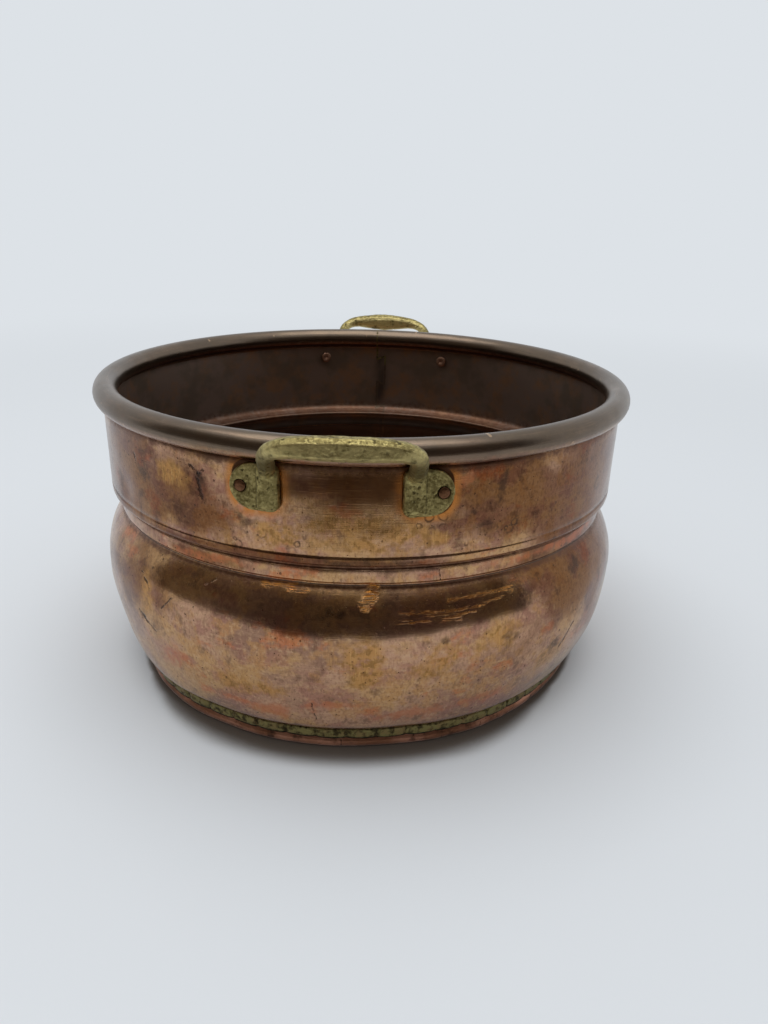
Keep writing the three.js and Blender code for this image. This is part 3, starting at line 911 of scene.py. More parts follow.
    def rim_and_inside(self, coats: Coats, streak: Mask) -> None:
        """The brown of the roll, the film inside, and painted shade low inside, in the waist's steps and
        under the roll.

        Args:
            coats: The metal so far.
            streak: The mask of the scoured streaks.
        """
        roll = coats.marked(Look.ROLL)
        coats.lay(roll, self.roll_brown, 0.93, 0.3)
        self.roll_worn.lay(coats)
        coats.lay(coats.both(streak, roll), self.roll_worn.colour, 0.4, 0.24)
        coats.lay(coats.both(coats.drops(9, 0.9, 0.15, seed=0.66), roll), self.scoured, 0.5, 0.25)
        coats.lay(coats.marked(Look.INSIDE), self.inner_brown, roughness=0.5)
        self.inner_stain.lay(coats)
        self.inner_film.lay(coats)
        # Soot down the seam inside, and painted shade towards the bottom of the inside
        coats.lay(coats.marked(Look.SOOT), self.soot, 0.86, 0.5)
        # Painted shade in the waist's steps, under the roll and on the ledge, deepest where the roll hides
        # the sheet
        coats.lay(coats.marked(Look.CREVICE, 0.3, 3, 0.2), self.shade, roughness=0.45)
        deepest = coats.ramp(coats.marked(Look.CREVICE), 0.76, 0.92, smooth=False)
        coats.lay(deepest, self.grime_and_painted_shade, roughness=0.5)

    def scratched(self, coats: Coats) -> None:
        """The painted glint, the scratches in the glint's colour, and the dark nicks.

        Args:
            coats: The metal so far.
        """
        hairs = coats.patches(0.9, 0.42, 0.6, (7.0, 1.0, 1.0))
        painted_glint = coats.both(coats.nick(*self.painted_glint_line), hairs)
        coats.lay(painted_glint, self.painted_glint, roughness=0.14)
        coats.raise_by(painted_glint, self.painted_glint_height)
        for scratch in self.scratches:
            line = coats.both(coats.nick(*scratch), hairs)
            coats.lay(line, self.painted_glint, 0.65, 0.3)
            coats.raise_by(line, self.scratch_height)
        for nick in self.nicks:
            cut = coats.both(coats.nick(*nick), coats.patches(2.2, 0.4, 0.56, seed=0.3))
            coats.lay(cut, self.grime_and_painted_shade, 0.8, 0.4)
            coats.raise_by(cut, self.nick_height)


@dataclass(frozen=True)
class FireScaledCopper:
    """Copper that stood on the fire: dark scale worn through to bare metal on the corner."""

    scale: str = "#845a43"
    film: str = "#5f493b"
    soot: str = "#33251e"
    outside: tuple[Tint, ...] = (
        Tint("#b5826a", 26, 0.4, 0.62, 0.8, 0.34, detail=4.0),
        Tint("#33251e", 7, 0.5, 0.7, 0.7, 0.55, seed=0.4, detail=4.0),
    )
    inside: tuple[Tint, ...] = (
        Tint("#b5826a", 40, 0.44, 0.66, 0.45, 0.42, seed=0.3, detail=7.0, look=Look.INSIDE),
        Tint("#33251e", 9, 0.5, 0.66, 0.5, 0.55, seed=0.8, look=Look.INSIDE),
    )

    def material(self) -> Metal:
        """The material of the base pan."""
        coats = Coats("fire_scaled_copper", self.scale, 0.42, disc=True)
        for tint in self.outside:
            tint.lay(coats)
        coats.lay(coats.marked(Look.INSIDE), self.film, 0.9, 0.5)
        for tint in self.inside:
            tint.lay(coats)
        pits = coats.drops(3.0, 0.4, 0.4)
        coats.lay(pits, self.soot, 0.8, 0.6)
        coats.raise_by(pits, -0.1)
        coats.raise_by(coats.patches(2.2, 0.3, 0.7, detail=5, seed=0.2), 0.05)
        return coats.finished()


@dataclass(frozen=True)
class CastBrass:
    """Sand-cast brass, olive with age, black in its pits, and brighter where hands rub it, partly painted
    light on the back grip.
    """

    aged: str = "#9c8e5c"
    tints: tuple[Tint, ...] = (
        Tint("#6d6039", 9, 0.4, 0.62, 0.75, 0.6, detail=4.0),
        Tint("#cdbe80", 3.2, 0.5, 0.72, 0.6, 0.45, seed=0.3),
        Tint("#cdbe80", 1.3, 0.5, 0.6, 0.45, 0.45, seed=0.15, detail=4.0),
        Tint("#574b2a", 1.6, 0.54, 0.62, 0.6, 0.6, seed=0.55, detail=4.0),
    )
    # Rubbed brass, also standing in for painted light on the back grip
    rubbed_and_sheen: Tint = Tint("#e2cf90", 4, 0.3, 0.5, 0.85, 0.42, seed=0.8, look=Look.SCUFF)
    shaded: str = "#5a5033"
    pit: str = "#231c13"

    def material(self) -> Metal:
        """The material of the two handles."""
        coats = Coats("sand_cast_brass", self.aged, 0.54)
        for tint in self.tints:
            tint.lay(coats)
        # Painted shade on the handles' legs
        coats.lay(coats.marked(Look.SMOKE, 0.6, 5, 0.35), self.shaded, 0.75, 0.6)
        # Sand grains of about 0.5 mm leave pits that are drawn a little coarser so that they show
        pits = coats.drops(1.7, 0.3, 0.3, seed=0.7)
        coats.lay(pits, self.pit, 0.45, 0.6)
        coats.lay(coats.marked(Look.CREVICE, 0.4, 2, 0.1), self.pit, 0.65, 0.65)
        self.rubbed_and_sheen.lay(coats)
        coats.raise_by(pits, -0.15)
        coats.raise_by(coats.patches(1.1, 0.3, 0.7, detail=5, seed=0.6), 0.06)
        return coats.finished()


@dataclass(frozen=True)
class BrazingBrass:
    """Spelter run into the joints: a dull olive brass with dark borax scale left on it."""

    run: str = "#81774c"
    copper_tinge: Tint = Tint("#846e4a", 6, 0.45, 0.65, 0.7, 0.38, seed=0.5, detail=4.0)
    scale: Tint = Tint("#2b2218", 3.5, 0.46, 0.64, 0.8, 0.6, seed=0.2)
    soot: str = "#6a574a"

    def material(self) -> Metal:
        """The material of the base and side seams."""
        coats = Coats("brazing_spelter", self.run, 0.42)
        self.copper_tinge.lay(coats)
        self.scale.lay(coats)
        coats.lay(coats.marked(Look.INSIDE, 0.3, 2), self.soot, 0.93, 0.5)
        # Painted shade at the bead's edges and in its slits, in the scale's colour
        coats.lay(coats.marked(Look.CREVICE, 0.4, 1.5, 0.3), self.scale.colour, roughness=0.7)
        coats.raise_by(coats.patches(1.6, 0.3, 0.7, detail=5, seed=0.8), 0.1)
        return coats.finished()


@dataclass(frozen=True)
class RivetCopper:
    """Soft copper hammered over: smoother than the sheet, with a dark ring where it meets the brass."""

    worn: str = "#76523a"
    dark: Tint = Tint("#46301f", 2.4, 0.42, 0.62, 0.8, 0.5, seed=0.9, detail=4.0)
    head: str = "#a07a64"

    def material(self) -> Metal:
        """The material of the four rivets."""
        coats = Coats("hammered_rivet_copper", self.worn, 0.36)
        self.dark.lay(coats)
        # The heads inside the neck lie at a smaller radius than the ends outside
        coats.lay(coats.ramp(coats.radius, 146 * MM, 144.5 * MM, smooth=False), self.head, roughness=0.5)
        coats.raise_by(coats.patches(1.3, 0.3, 0.7, seed=0.1), 0.08)
        return coats.finished()


@dataclass(frozen=True)
class DrawnIron:
    """Drawn iron wire, browned with old rust inside the roll."""

    dark: str = "#3f3a37"
    rust: Tint = Tint("#5d3a26", 4, 0.45, 0.62, 1.0, 0.8, detail=4.0)

    def material(self) -> Metal:
        """The material of the wire in the rim."""
        coats = Coats("drawn_iron_wire", self.dark, 0.6)
        self.rust.lay(coats)
        coats.raise_by(coats.patches(1.2, 0.3, 0.7, seed=0.4), 0.05)
        return coats.finished()


# The bowl


@dataclass(frozen=True)
class HandWork:
    """What the hammer and some hard knocks did to the turned shape, in millimetres and degrees.

    A foot push holds its azimuth, width and depth, and a dent its azimuth, height, reach and depth.
    """

    neck_wave: float = 0.16
    belly_wave: float = 0.38
    fine_wave: float = 0.35
    wave_span: float = 24.0
    belly_top: Pair = (92.0, 104.0)
    roll_foot: Pair = (148.0, 154.0)
    foot_top: Pair = (12.0, 46.0)
    still_middle: Pair = (70.0, 125.0)
    foot_pushes: tuple = ((-34.0, 30.0, 2.6), (-29.0, 7.0, -0.9), (10.0, 9.0, -0.7), (52.0, 20.0, -1.8))
    dents: tuple = (
        (4.2, 91.5, 4.6, 1.0), (-26.6, 51.0, 5.0, 0.35), (-11.0, 55.3, 6.0, 0.3), (33.0, 52.0, 9.0, 0.4),
        (-13.5, 67.8, 5.0, 0.25), (-52.0, 118.0, 8.0, 0.5), (70.0, 60.0, 11.0, 0.6),
        (128.0, 46.0, 12.0, 0.7), (-110.0, 70.0, 10.0, 0.6),
    )

    def worked(self, co: np.ndarray) -> np.ndarray:
        """Moves points of the turned bowl, in metres, to where the worked one has them.

        Args:
            co: The points in metres.

        Returns:
            The moved points.
        """
        angles, heights = azimuths(co), co[:, 2] / MM
        radii = np.maximum(np.hypot(co[:, 0], co[:, 1]) / MM, 1e-3)
        turn = np.radians(angles)
        on_sheet = np.c_[np.sin(turn) * NECK_RADIUS, -np.cos(turn) * NECK_RADIUS, heights] * MM
        belly = 1 - smoothstep(*self.belly_top, heights)
        roll = smoothstep(*self.roll_foot, heights)
        wave = self.neck_wave + (self.belly_wave - self.neck_wave) * belly
        push = wave * (1 - 0.6 * roll) * ripple(on_sheet, self.wave_span, 4.0)
        push += self.fine_wave * wave * (1 - roll) * ripple(on_sheet, self.wave_span / 2.6, 9.0)
        for azimuth, height, reach, depth in self.dents:
            across = np.radians(turn_gap(angles, azimuth)) * NECK_RADIUS
            push -= depth * bell(np.hypot(across, heights - height), reach)
        for azimuth, width, depth in self.foot_pushes:
            push += depth * bell(turn_gap(angles, azimuth), width) * (1 - smoothstep(*self.foot_top, heights))
        push *= smoothstep(*self.still_middle, radii)
        moved = co.copy()
        moved[:, :2] *= ((radii + push) / radii)[:, None]
        return moved

    def work(self, piece: Piece) -> None:
        """Works a turned piece."""
        set_coordinates(piece.data, self.worked(coordinates(piece.data)))


@dataclass(frozen=True)
class Blotch:
    """One mark on the outside of the wall, in degrees and millimetres; the lean is millimetres a degree."""

    azimuth: float
    height: float
    half_width: float
    half_height: float
    strength: float = 1.0
    lean: float = 0.0

    def values(self, angles: np.ndarray, heights: np.ndarray) -> np.ndarray:
        """How strong the mark is at each place, from 0 to 1."""
        gap = turn_gap(angles, self.azimuth)
        rise = heights - self.height - self.lean * gap
        return self.strength * bell(np.hypot(gap / self.half_width, rise / self.half_height), 1.0)


# Each mark holds what a Blotch holds, in its order, and the order within a look makes no difference
MARKS: dict[Look, tuple] = {
    Look.GILT: (
        (-35, 138, 4.6, 6, 0.75), (0, 116.5, 17, 6, 0.8), (-13.7, 121, 5, 5, 0.8), (-1, 125, 7, 6),
        (9.3, 121, 5, 5, 0.9), (16.6, 118, 4, 5, 0.8), (3.6, 58, 5, 13), (19, 60.6, 4, 8, 0.8),
        (29, 63.6, 5, 8, 0.8), (41.5, 41, 5, 8, 0.8), (15.4, 53.8, 4, 6, 0.7), (-21.6, 39.8, 5, 6, 0.7),
        (-44, 69, 2.5, 14, 0.8), (-15.4, 37.7, 4, 5, 0.7), (128, 60, 9, 16, 0.8),
        (-96, 124, 10, 9, 0.8), (-140, 48, 8, 14, 0.8),
    ),
    Look.EMBER: (
        (-37.5, 40.3, 3.4, 7), (-30, 98.3, 11, 2.6, 0.9, 0.25), (48, 99.7, 18, 2.6, 0.9, -0.04),
        (-57, 91.5, 5, 5, 0.8), (13, 26, 9, 5, 0.8), (-4, 33, 6, 4, 0.6), (-15, 25, 6, 5, 0.8),
        (27, 29, 6, 5, 0.8), (-17, 127.7, 4, 3, 0.6), (20, 147, 2.6, 6, 0.8), (8.8, 138, 1.6, 9, 0.5),
        (96, 94, 14, 4, 0.7),
    ),
    # Two smoke marks are painted shadow: below the left front plate (-18.9, 124.6) and under the roll (-25,
    # 150.8)
    Look.SMOKE: (
        (2, 107.6, 15, 1.9, 0.7), (-2.7, 82.6, 3, 3, 0.8), (-27.6, 138.8, 1.4, 6), (-43.9, 133, 2.5, 6, 0.8),
        (-25, 150.8, 3, 3, 0.9), (-18.9, 124.6, 2, 3, 0.7), (28.3, 142, 1.2, 9, 0.9, 7.0),
        (25.2, 122.5, 2, 4, 0.7), (22.9, 129.7, 1.5, 3, 0.7), (31.4, 64.8, 2, 4, 0.8),
        (51.7, 85.7, 3, 5, 0.8), (45, 49, 3, 6, 0.7), (17.9, 69, 0.8, 2, 0.9),
        (13.4, 48.4, 0.8, 2, 0.9), (-150, 88, 8, 9, 0.7),
    ),
    Look.SCUFF: (
        (-20.3, 112.7, 2.2, 3), (-13.7, 115.9, 1.8, 3), (-8.2, 116.1, 1.8, 3), (14.6, 126.8, 4, 3),
        (30.6, 120.4, 3.4, 4), (22.5, 112.8, 2.6, 2.5),
    ),
    # The tarnish at the top of the front neck (0, 143) is painted dark reflection of the room in front
    Look.TARNISH: (
        (-14, 107.4, 30, 2.6, 1.4), (-31, 98, 9, 5, 1.1), (-32, 130, 13, 24), (-50, 146, 14, 9, 1.2),
        (-48, 74, 15, 22, 0.9), (62, 124, 26, 42, 1.7), (66, 90, 30, 40, 1.4), (30, 138, 14, 26, 1.3),
        (-60, 128, 32, 26, 1.15), (0, 143, 15, 9, 0.95), (-60, 75, 20, 30, 0.6), (150, 100, 44, 60),
        (-128, 104, 38, 60, 0.9),
    ),
}


def section_mesh(name: str, outer: Sequence[Point], inner: Sequence[Point]) -> Mesh:
    """The closed section of a sheet in the XZ plane, from its two faces that run the same way."""
    return mesh_of(name, [(radius * MM, 0.0, height * MM) for radius, height in [*outer, *inner[::-1]]])


@dataclass
class BowlWall:
    """The sheet wall: belly, waist, neck and the rim that rolls over its wire.

    Each painted shade holds how strong it is and how far it reaches, and each fade where it starts and ends:
    heights, or degrees round the roll from its outer side.
    """

    rim_diameter: float = 300.0
    rim_height: float = 165.2
    sheet_thickness: float = 1.2
    fit_gap: float = 0.3
    roll_diameter: float = 12.6
    roll_bend_radius: float = 2.6
    neck_inset: float = 4.9
    neck_taper: float = 0.7
    neck_height: float = 59.47
    lip_bend_radius: float = 2.6
    groove_depth: float = 7.2
    groove_drop: float = 2.3
    groove_bend_radius: float = 1.2
    shoulder_standout: float = 2.9
    shoulder_drop: float = 1.0
    shoulder_flare: float = 0.05
    shoulder_height: float = 6.4
    shoulder_bend_radius: float = 0.9
    crease_depth: float = 1.5
    crease_drop: float = 2.0
    belly_bulge: float = 10.7
    belly_drop: float = 28.11
    foot_inset: float = 16.4
    foot_height: float = 12.2
    foot_angle: float = 62.0
    turn_in_radius: float = 14.0
    line_height: float = 110.6
    line_width: float = 1.0
    line_depth: float = 0.36
    longest_step: float = 2.4
    turns: int = 352
    groove_painted_shade: Pair = (0.72, 1.9)
    crease_painted_shade: Pair = (0.68, 2.0)
    under_roll_painted_shade: Pair = (0.9, 2.4)
    ledge_painted_shade: Pair = (0.62, 5.5)
    under_roll_fade: Pair = (146.6, 151.6)
    brown_fade: Pair = (-36.0, -8.0)
    slit_fade: Pair = (-76.0, -72.0)
    seam_soot_top: Pair = (143.0, 150.0)
    deep_painted_shade_top: Pair = (92.0, 112.0)

    @property
    def roll_centre(self) -> Point:
        """Centre of the rolled rim in the section."""
        radius = self.roll_diameter / 2
        return self.rim_diameter / 2 - radius, self.rim_height - radius

    @property
    def neck_radius(self) -> float:
        """Radius of the neck's outer face at its top."""
        return self.rim_diameter / 2 - self.neck_inset

    @property
    def lip(self) -> Point:
        """The neck's lower end."""
        return self.neck_radius - self.neck_taper, self.rim_height - self.neck_height

    @property
    def groove(self) -> Point:
        """The deepest line of the waist."""
        return self.lip[0] - self.groove_depth, self.lip[1] - self.groove_drop

    @property
    def shoulder_top(self) -> Point:
        """The upper edge of the shoulder band."""
        return self.groove[0] + self.shoulder_standout, self.groove[1] - self.shoulder_drop

    @property
    def shoulder_foot(self) -> Point:
        """The lower edge of the shoulder band."""
        return self.shoulder_top[0] + self.shoulder_flare, self.shoulder_top[1] - self.shoulder_height

    @property
    def crease(self) -> Point:
        """The crease that parts the shoulder band from the belly."""
        return self.shoulder_foot[0] - self.crease_depth, self.shoulder_foot[1] - self.crease_drop

    @property
    def belly(self) -> Point:
        """The widest line of the belly."""
        return self.crease[0] + self.belly_bulge, self.crease[1] - self.belly_drop

    @property
    def foot(self) -> Point:
        """The lower edge of the wall."""
        return self.belly[0] - self.foot_inset, self.foot_height

    def radius_at(self, height: float) -> float:
        """Radius of the neck's outer face at a height between the lip and the roll."""
        share = (height - self.lip[1]) / (self.roll_centre[1] - self.lip[1])
        return self.lip[0] + (self.neck_radius - self.lip[0]) * share

    def belly_line(self) -> list[Point]:
        """The outer face from the foot through the turn-in and the belly up to the crease."""
        turn = math.radians(self.foot_angle)
        centre_x = self.foot[0] - self.turn_in_radius * math.cos(turn)
        centre_z = self.foot[1] + self.turn_in_radius * math.sin(turn)
        across, below = self.belly[0] - centre_x, self.belly[1] - centre_z
        wide = (across**2 + below**2 - self.turn_in_radius**2) / (2 * (across - self.turn_in_radius))
        wide_x = self.belly[0] - wide
        meeting = math.degrees(math.atan2(centre_z - self.belly[1], centre_x - wide_x))
        upper = (self.belly_bulge**2 + self.belly_drop**2) / (2 * self.belly_bulge)
        top = math.degrees(math.asin(self.belly_drop / upper))
        return [
            *arc((centre_x, centre_z), self.turn_in_radius, -self.foot_angle, meeting, 10),
            *arc((wide_x, self.belly[1]), wide, meeting, 0, 20)[1:],
            *arc((self.belly[0] - upper, self.belly[1]), upper, 0, top, 14)[1:],
        ]

    def roll_line(self) -> list[Point]:
        """The line of the rim from the bend at the top of the neck to the raw edge."""
        hollow = self.roll_diameter / 2 - self.sheet_thickness
        reach = hollow + self.roll_bend_radius
        aside = self.neck_radius - self.roll_bend_radius - self.roll_centre[0]
        below = math.sqrt(reach**2 - aside**2)
        centre = (self.roll_centre[0] + aside, self.roll_centre[1] - below)
        contact = math.degrees(math.atan2(below, -aside))
        radius = self.roll_diameter / 2
        edge_reach = self.roll_bend_radius + self.fit_gap
        cosine = (reach**2 + radius**2 - edge_reach**2) / (2 * reach * radius)
        edge = contact - 180 + math.degrees(math.acos(cosine))
        rolled = arc(self.roll_centre, hollow, contact + 180, edge, 26)
        return [*arc(centre, self.roll_bend_radius, 0, contact, 6), *rolled[1:]]

    def chased_line(self) -> list[Point]:
        """The line chased round the neck just above its lip."""
        low, high = self.line_height - self.line_width / 2, self.line_height + self.line_width / 2
        deepest = (self.radius_at(self.line_height) - self.line_depth, self.line_height)
        return [(self.radius_at(low), low), deepest, (self.radius_at(high), high)]

    def outer_line(self) -> list[Point]:
        """The outer face of the sheet from the foot up over the rim."""
        roll = self.roll_line()
        line = [
            *self.belly_line(),
            *bend(self.crease, self.shoulder_foot, self.shoulder_top, self.shoulder_bend_radius, 3),
            *bend(self.shoulder_foot, self.shoulder_top, self.groove, self.shoulder_bend_radius, 3),
            *bend(self.shoulder_top, self.groove, self.lip, self.groove_bend_radius, 4),
            *bend(self.groove, self.lip, roll[0], self.lip_bend_radius, 6),
            *self.chased_line(),
            *roll,
        ]
        return resampled(line, self.longest_step)

    def inner_line(self, outer: Sequence[Point]) -> list[Point]:
        """The inner face of the sheet, where the waist's sharp steps come through rounded.

        Args:
            outer: The outer face.

        Returns:
            As many points, each behind its own of the outer face.
        """
        inner = np.array(offset(outer, self.sheet_thickness))
        waist = (inner[:, 1] > self.crease[1] - 8) & (inner[:, 1] < self.line_height + 6)
        waist[[0, -1]] = False
        ledge = waist & (inner[:, 1] > self.groove[1] + 0.6)
        for zone in [waist] * 5 + [ledge] * 24:
            mean = (np.roll(inner, 1, axis=0) + np.roll(inner, -1, axis=0)) / 2
            inner[zone] = (inner[zone] + mean[zone]) / 2
        return [tuple(point) for point in inner]

    def outer_looks(self, line: np.ndarray, on_roll: np.ndarray) -> dict[Look, np.ndarray]:
        """The looks of the outer face: painted shade in its steps and below the roll, full on all of what the
        roll hides.

        Args:
            line: The face.
            on_roll: How many points past the roll's start each lies.

        Returns:
            The looks at each point.
        """
        height, none = line[:, 1], np.zeros(len(line))
        groove = self.groove_painted_shade[0] * bell(height - self.groove[1], self.groove_painted_shade[1])
        crease = self.crease_painted_shade[0] * bell(height - self.crease[1] + 0.8, self.crease_painted_shade[1])
        under_roll = 0.6 * smoothstep(*self.under_roll_fade, height)
        grime_and_painted_shade = np.maximum(under_roll, np.maximum(groove, crease))
        return {Look.INSIDE: none, Look.ROLL: none, Look.CREVICE: np.where(on_roll > 2, 1.0, grime_and_painted_shade)}

    def inner_looks(self, line: np.ndarray, on_roll: np.ndarray) -> dict[Look, np.ndarray]:
        """The looks of the inner face, which is also the face of the roll that shows.

        Args:
            line: The face.
            on_roll: How many points past the roll's start each lies.

        Returns:
            The looks at each point.
        """
        aside, above = (line - self.roll_centre).T
        rise = np.degrees(np.arctan2(above, aside))
        rolled, outward = on_roll > 3, aside > 0
        brown = np.where(outward, 0.4 + 0.6 * smoothstep(*self.brown_fade, rise), 1.0)
        inward = np.where(outward, 0.0, 1 - smoothstep(-4, -1, above))
        # Painted shade under the roll's inner side and on the ledge, and in the slit at the roll's raw edge
        grime_and_painted_shade = np.where(outward, 0.0, self.under_roll_painted_shade[0] * bell(above + 4.2, self.under_roll_painted_shade[1]))
        grime_and_painted_shade += self.ledge_painted_shade[0] * bell(line[:, 1] - self.groove[1] - 3, self.ledge_painted_shade[1])
        slit = 1 - smoothstep(*self.slit_fade, rise)
        return {
            Look.INSIDE: np.where(rolled, inward, 1.0),
            Look.ROLL: np.where(rolled, brown, 0.0),
            Look.CREVICE: np.where(rolled & outward, slit, grime_and_painted_shade),
        }

    def section(self) -> Mesh:
        """The closed section of the sheet, with the looks that run round the whole bowl."""
        outer = self.outer_line()
        inner = self.inner_line(outer)
        on_roll = np.arange(len(outer)) - len(outer) + len(resampled(self.roll_line(), self.longest_step))
        mesh = section_mesh("wall_section", outer, inner)
        inside = self.inner_looks(np.array(inner), on_roll)
        for look, values in self.outer_looks(np.array(outer), on_roll).items():
            store(mesh, look, np.r_[values, inside[look][::-1]])
        return mesh

    def build(self, work: HandWork, metal: Metal) -> Piece:
        """Turns, works and marks the wall, and gives it its metal.

        Args:
            work: What the hammer and knocks did to it.
            metal: Its copper.

        Returns:
            The finished piece.
        """
        wall = turned_piece("copper_wall", self.section(), self.turns, metal)
        mesh, co = wall.data, coordinates(wall.data)
        angles, heights = azimuths(co), co[:, 2] / MM
        inside = stored(mesh, Look.INSIDE)
        outside = 1 - np.maximum(inside, stored(mesh, Look.ROLL))
        for look, marks in MARKS.items():
            mine = [Blotch(*mark).values(angles, heights) for mark in marks]
            store(mesh, look, np.clip(np.max(mine, axis=0), 0, 1) * outside)
        by_seam = bell(turn_gap(angles, SEAM_AZIMUTH), 1.5) * (1 - smoothstep(*self.seam_soot_top, heights))
        by_seam *= np.clip(0.75 + 0.8 * ripple(co, 7, 31.0), 0, 1)
        # Painted shade that darkens the inside towards its bottom
        low_down = 0.9 * (1 - smoothstep(*self.deep_painted_shade_top, heights))
        store(mesh, Look.SOOT, np.maximum(by_seam, low_down) * inside)
        work.work(wall)
        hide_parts("wall")
        return fitted(wall)


@dataclass
class BasePan:
    """The base: a flat disc with a rounded corner and an edge that stands up behind the brass."""

    radius: float = 132.2
    corner_radius: float = 3.0
    shoulder_height: float = 4.4
    lap_radius: float = 130.7
    joggle_rise: float = 1.4
    top: float = 13.1
    sheet_thickness: float = 1.2
    longest_step: float = 9.0
    turns: int = 240

    def build(self, work: HandWork, metal: Metal) -> Piece:
        """Turns and works the base pan, and gives it its metal.

        Args:
            work: What the hammer and knocks did to it.
            metal: Its copper.

        Returns:
            The finished piece.
        """
        shoulder = (self.radius, self.shoulder_height)
        joggle = (self.lap_radius, self.shoulder_height + self.joggle_rise)
        corner = bend((0, 0), (self.radius, 0), shoulder, self.corner_radius, 8)
        line = [(0.0, 0.0), *corner, shoulder, joggle, (self.lap_radius, self.top)]
        line = resampled(line, self.longest_step)
        section = section_mesh("pan_section", line, offset(line, self.sheet_thickness))
        store(section, Look.INSIDE, np.repeat([0.0, 1.0], len(line)))
        pan = turned_piece("base_pan_copper", section, self.turns, metal)
        work.work(pan)
        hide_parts("base_pan")
        return fitted(pan)


@dataclass
class BaseBrazing:
    """The brass run round the foot, with a pad for every cramp tab and a dark slit between each two.

    The painted edge shade runs round the bead's section, from the foot up its face and down its back.
    """

    lap_radius: float = 131.0
    foot_radius: float = 133.0
    foot_height: float = 6.5
    top_height: float = 11.9
    taper: float = 0.5
    bulge: float = 0.25
    tabs: int = 55
    tab_sag: float = 0.4
    slit_width: float = 0.8
    slit_depth: float = 0.45
    slit_painted_shade: float = 0.45
    stations: int = 10
    edge_painted_shade: tuple[float, ...] = (0.9, 0.3, 0.0, 0.0, 0.1, 0.4, 0.7, 0.9)
    pad_width: float = 13.6
    pad_height: float = 3.9
    pad_depth: float = 0.16
    pad_row: Row = Row("tab_pads", spread=0.2, lumps=0.4, lump_size=5.0, seed=7)

    def bead(self, metal: Metal) -> Piece:
        """The continuous run of brass, cut in at each slit.

        Args:
            metal: The brass.

        Returns:
            The bead as an object.
        """
        rings, grime_and_painted_shade = [], []
        parts = np.linspace(0, 1, len(self.edge_painted_shade) - 2)
        for step in range(self.tabs * self.stations):
            share = (step % self.stations) / self.stations
            angle = 2 * math.pi * step / (self.tabs * self.stations)
            along = min(share, 1 - share) * 2 * math.pi * self.foot_radius / self.tabs
            cut = bell(along, self.slit_width / 2)
            bottom = self.foot_height - self.tab_sag * math.sin(math.pi * share)
            swell = self.bulge * np.sin(math.pi * parts)
            face = self.foot_radius - self.taper * (1 - parts) + swell - self.slit_depth * cut
            ring = [*zip(face, bottom + (self.top_height - bottom) * parts)]
            ring += [(self.lap_radius, self.top_height), (self.lap_radius, bottom)]
            rings.append([Vector((r * math.sin(angle), -r * math.cos(angle), z)) * MM for r, z in ring])
            # Painted shade at the bead's edges and in each slit
            grime_and_painted_shade += [max(self.slit_painted_shade * cut, edge) for edge in self.edge_painted_shade]
        mesh = mesh_of("base_bead", *skin(rings, closed=True))
        store(mesh, Look.CREVICE, np.array(grime_and_painted_shade))
        coated(clean(mesh), metal)
        return show("base_bead", mesh)

    def pads(self, metal: Metal) -> Piece:
        """One low pad for every tab, set out round the foot by the row tree."""
        small = cushion("tab_pad", self.pad_width, self.pad_height, self.pad_depth)
        height, radius = (self.foot_height + self.top_height) / 2, self.foot_radius - self.pad_depth / 2
        places = [place_at(360 * (tab + 0.5) / self.tabs, radius, height) for tab in range(self.tabs)]
        return self.pad_row.build(small, places, metal)

    def build(self, work: HandWork, metal: Metal) -> list[Piece]:
        """Builds the run of brass and its pads, and works both as the foot is worked.

        Args:
            work: What the hammer and knocks did to the foot.
            metal: The brass.

        Returns:
            The finished pieces.
        """
        pieces = [self.bead(metal), self.pads(metal)]
        for piece in pieces:
            work.work(piece)
            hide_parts("base_brazing")
            fitted(piece)
        return pieces


def cushion(name: str, width: float, height: float, depth: float) -> Mesh:
    """A low domed pad with a flat back, facing Z.

    Args:
        name: Name of the mesh.
        width: Its size along X in millimetres.
        height: Its size along Y.
        depth: How far it stands up.

    Returns:
        The mesh.
    """
    rings = []
    for share, rise in ((1.0, 0.0), (0.96, 0.45), (0.84, 0.82), (0.5, 1.0)):
        ring = []
        for x, y, _ in round_ring(1.0, 0.0, 16):
            wide, high = math.copysign(abs(x) ** 0.45, x), math.copysign(abs(y) ** 0.6, y)
            ring.append(Vector((wide * share * width / 2, high * share * height / 2, rise * depth)) * MM)
        rings.append(ring)
    return clean(mesh_of(name, *skin(rings)))


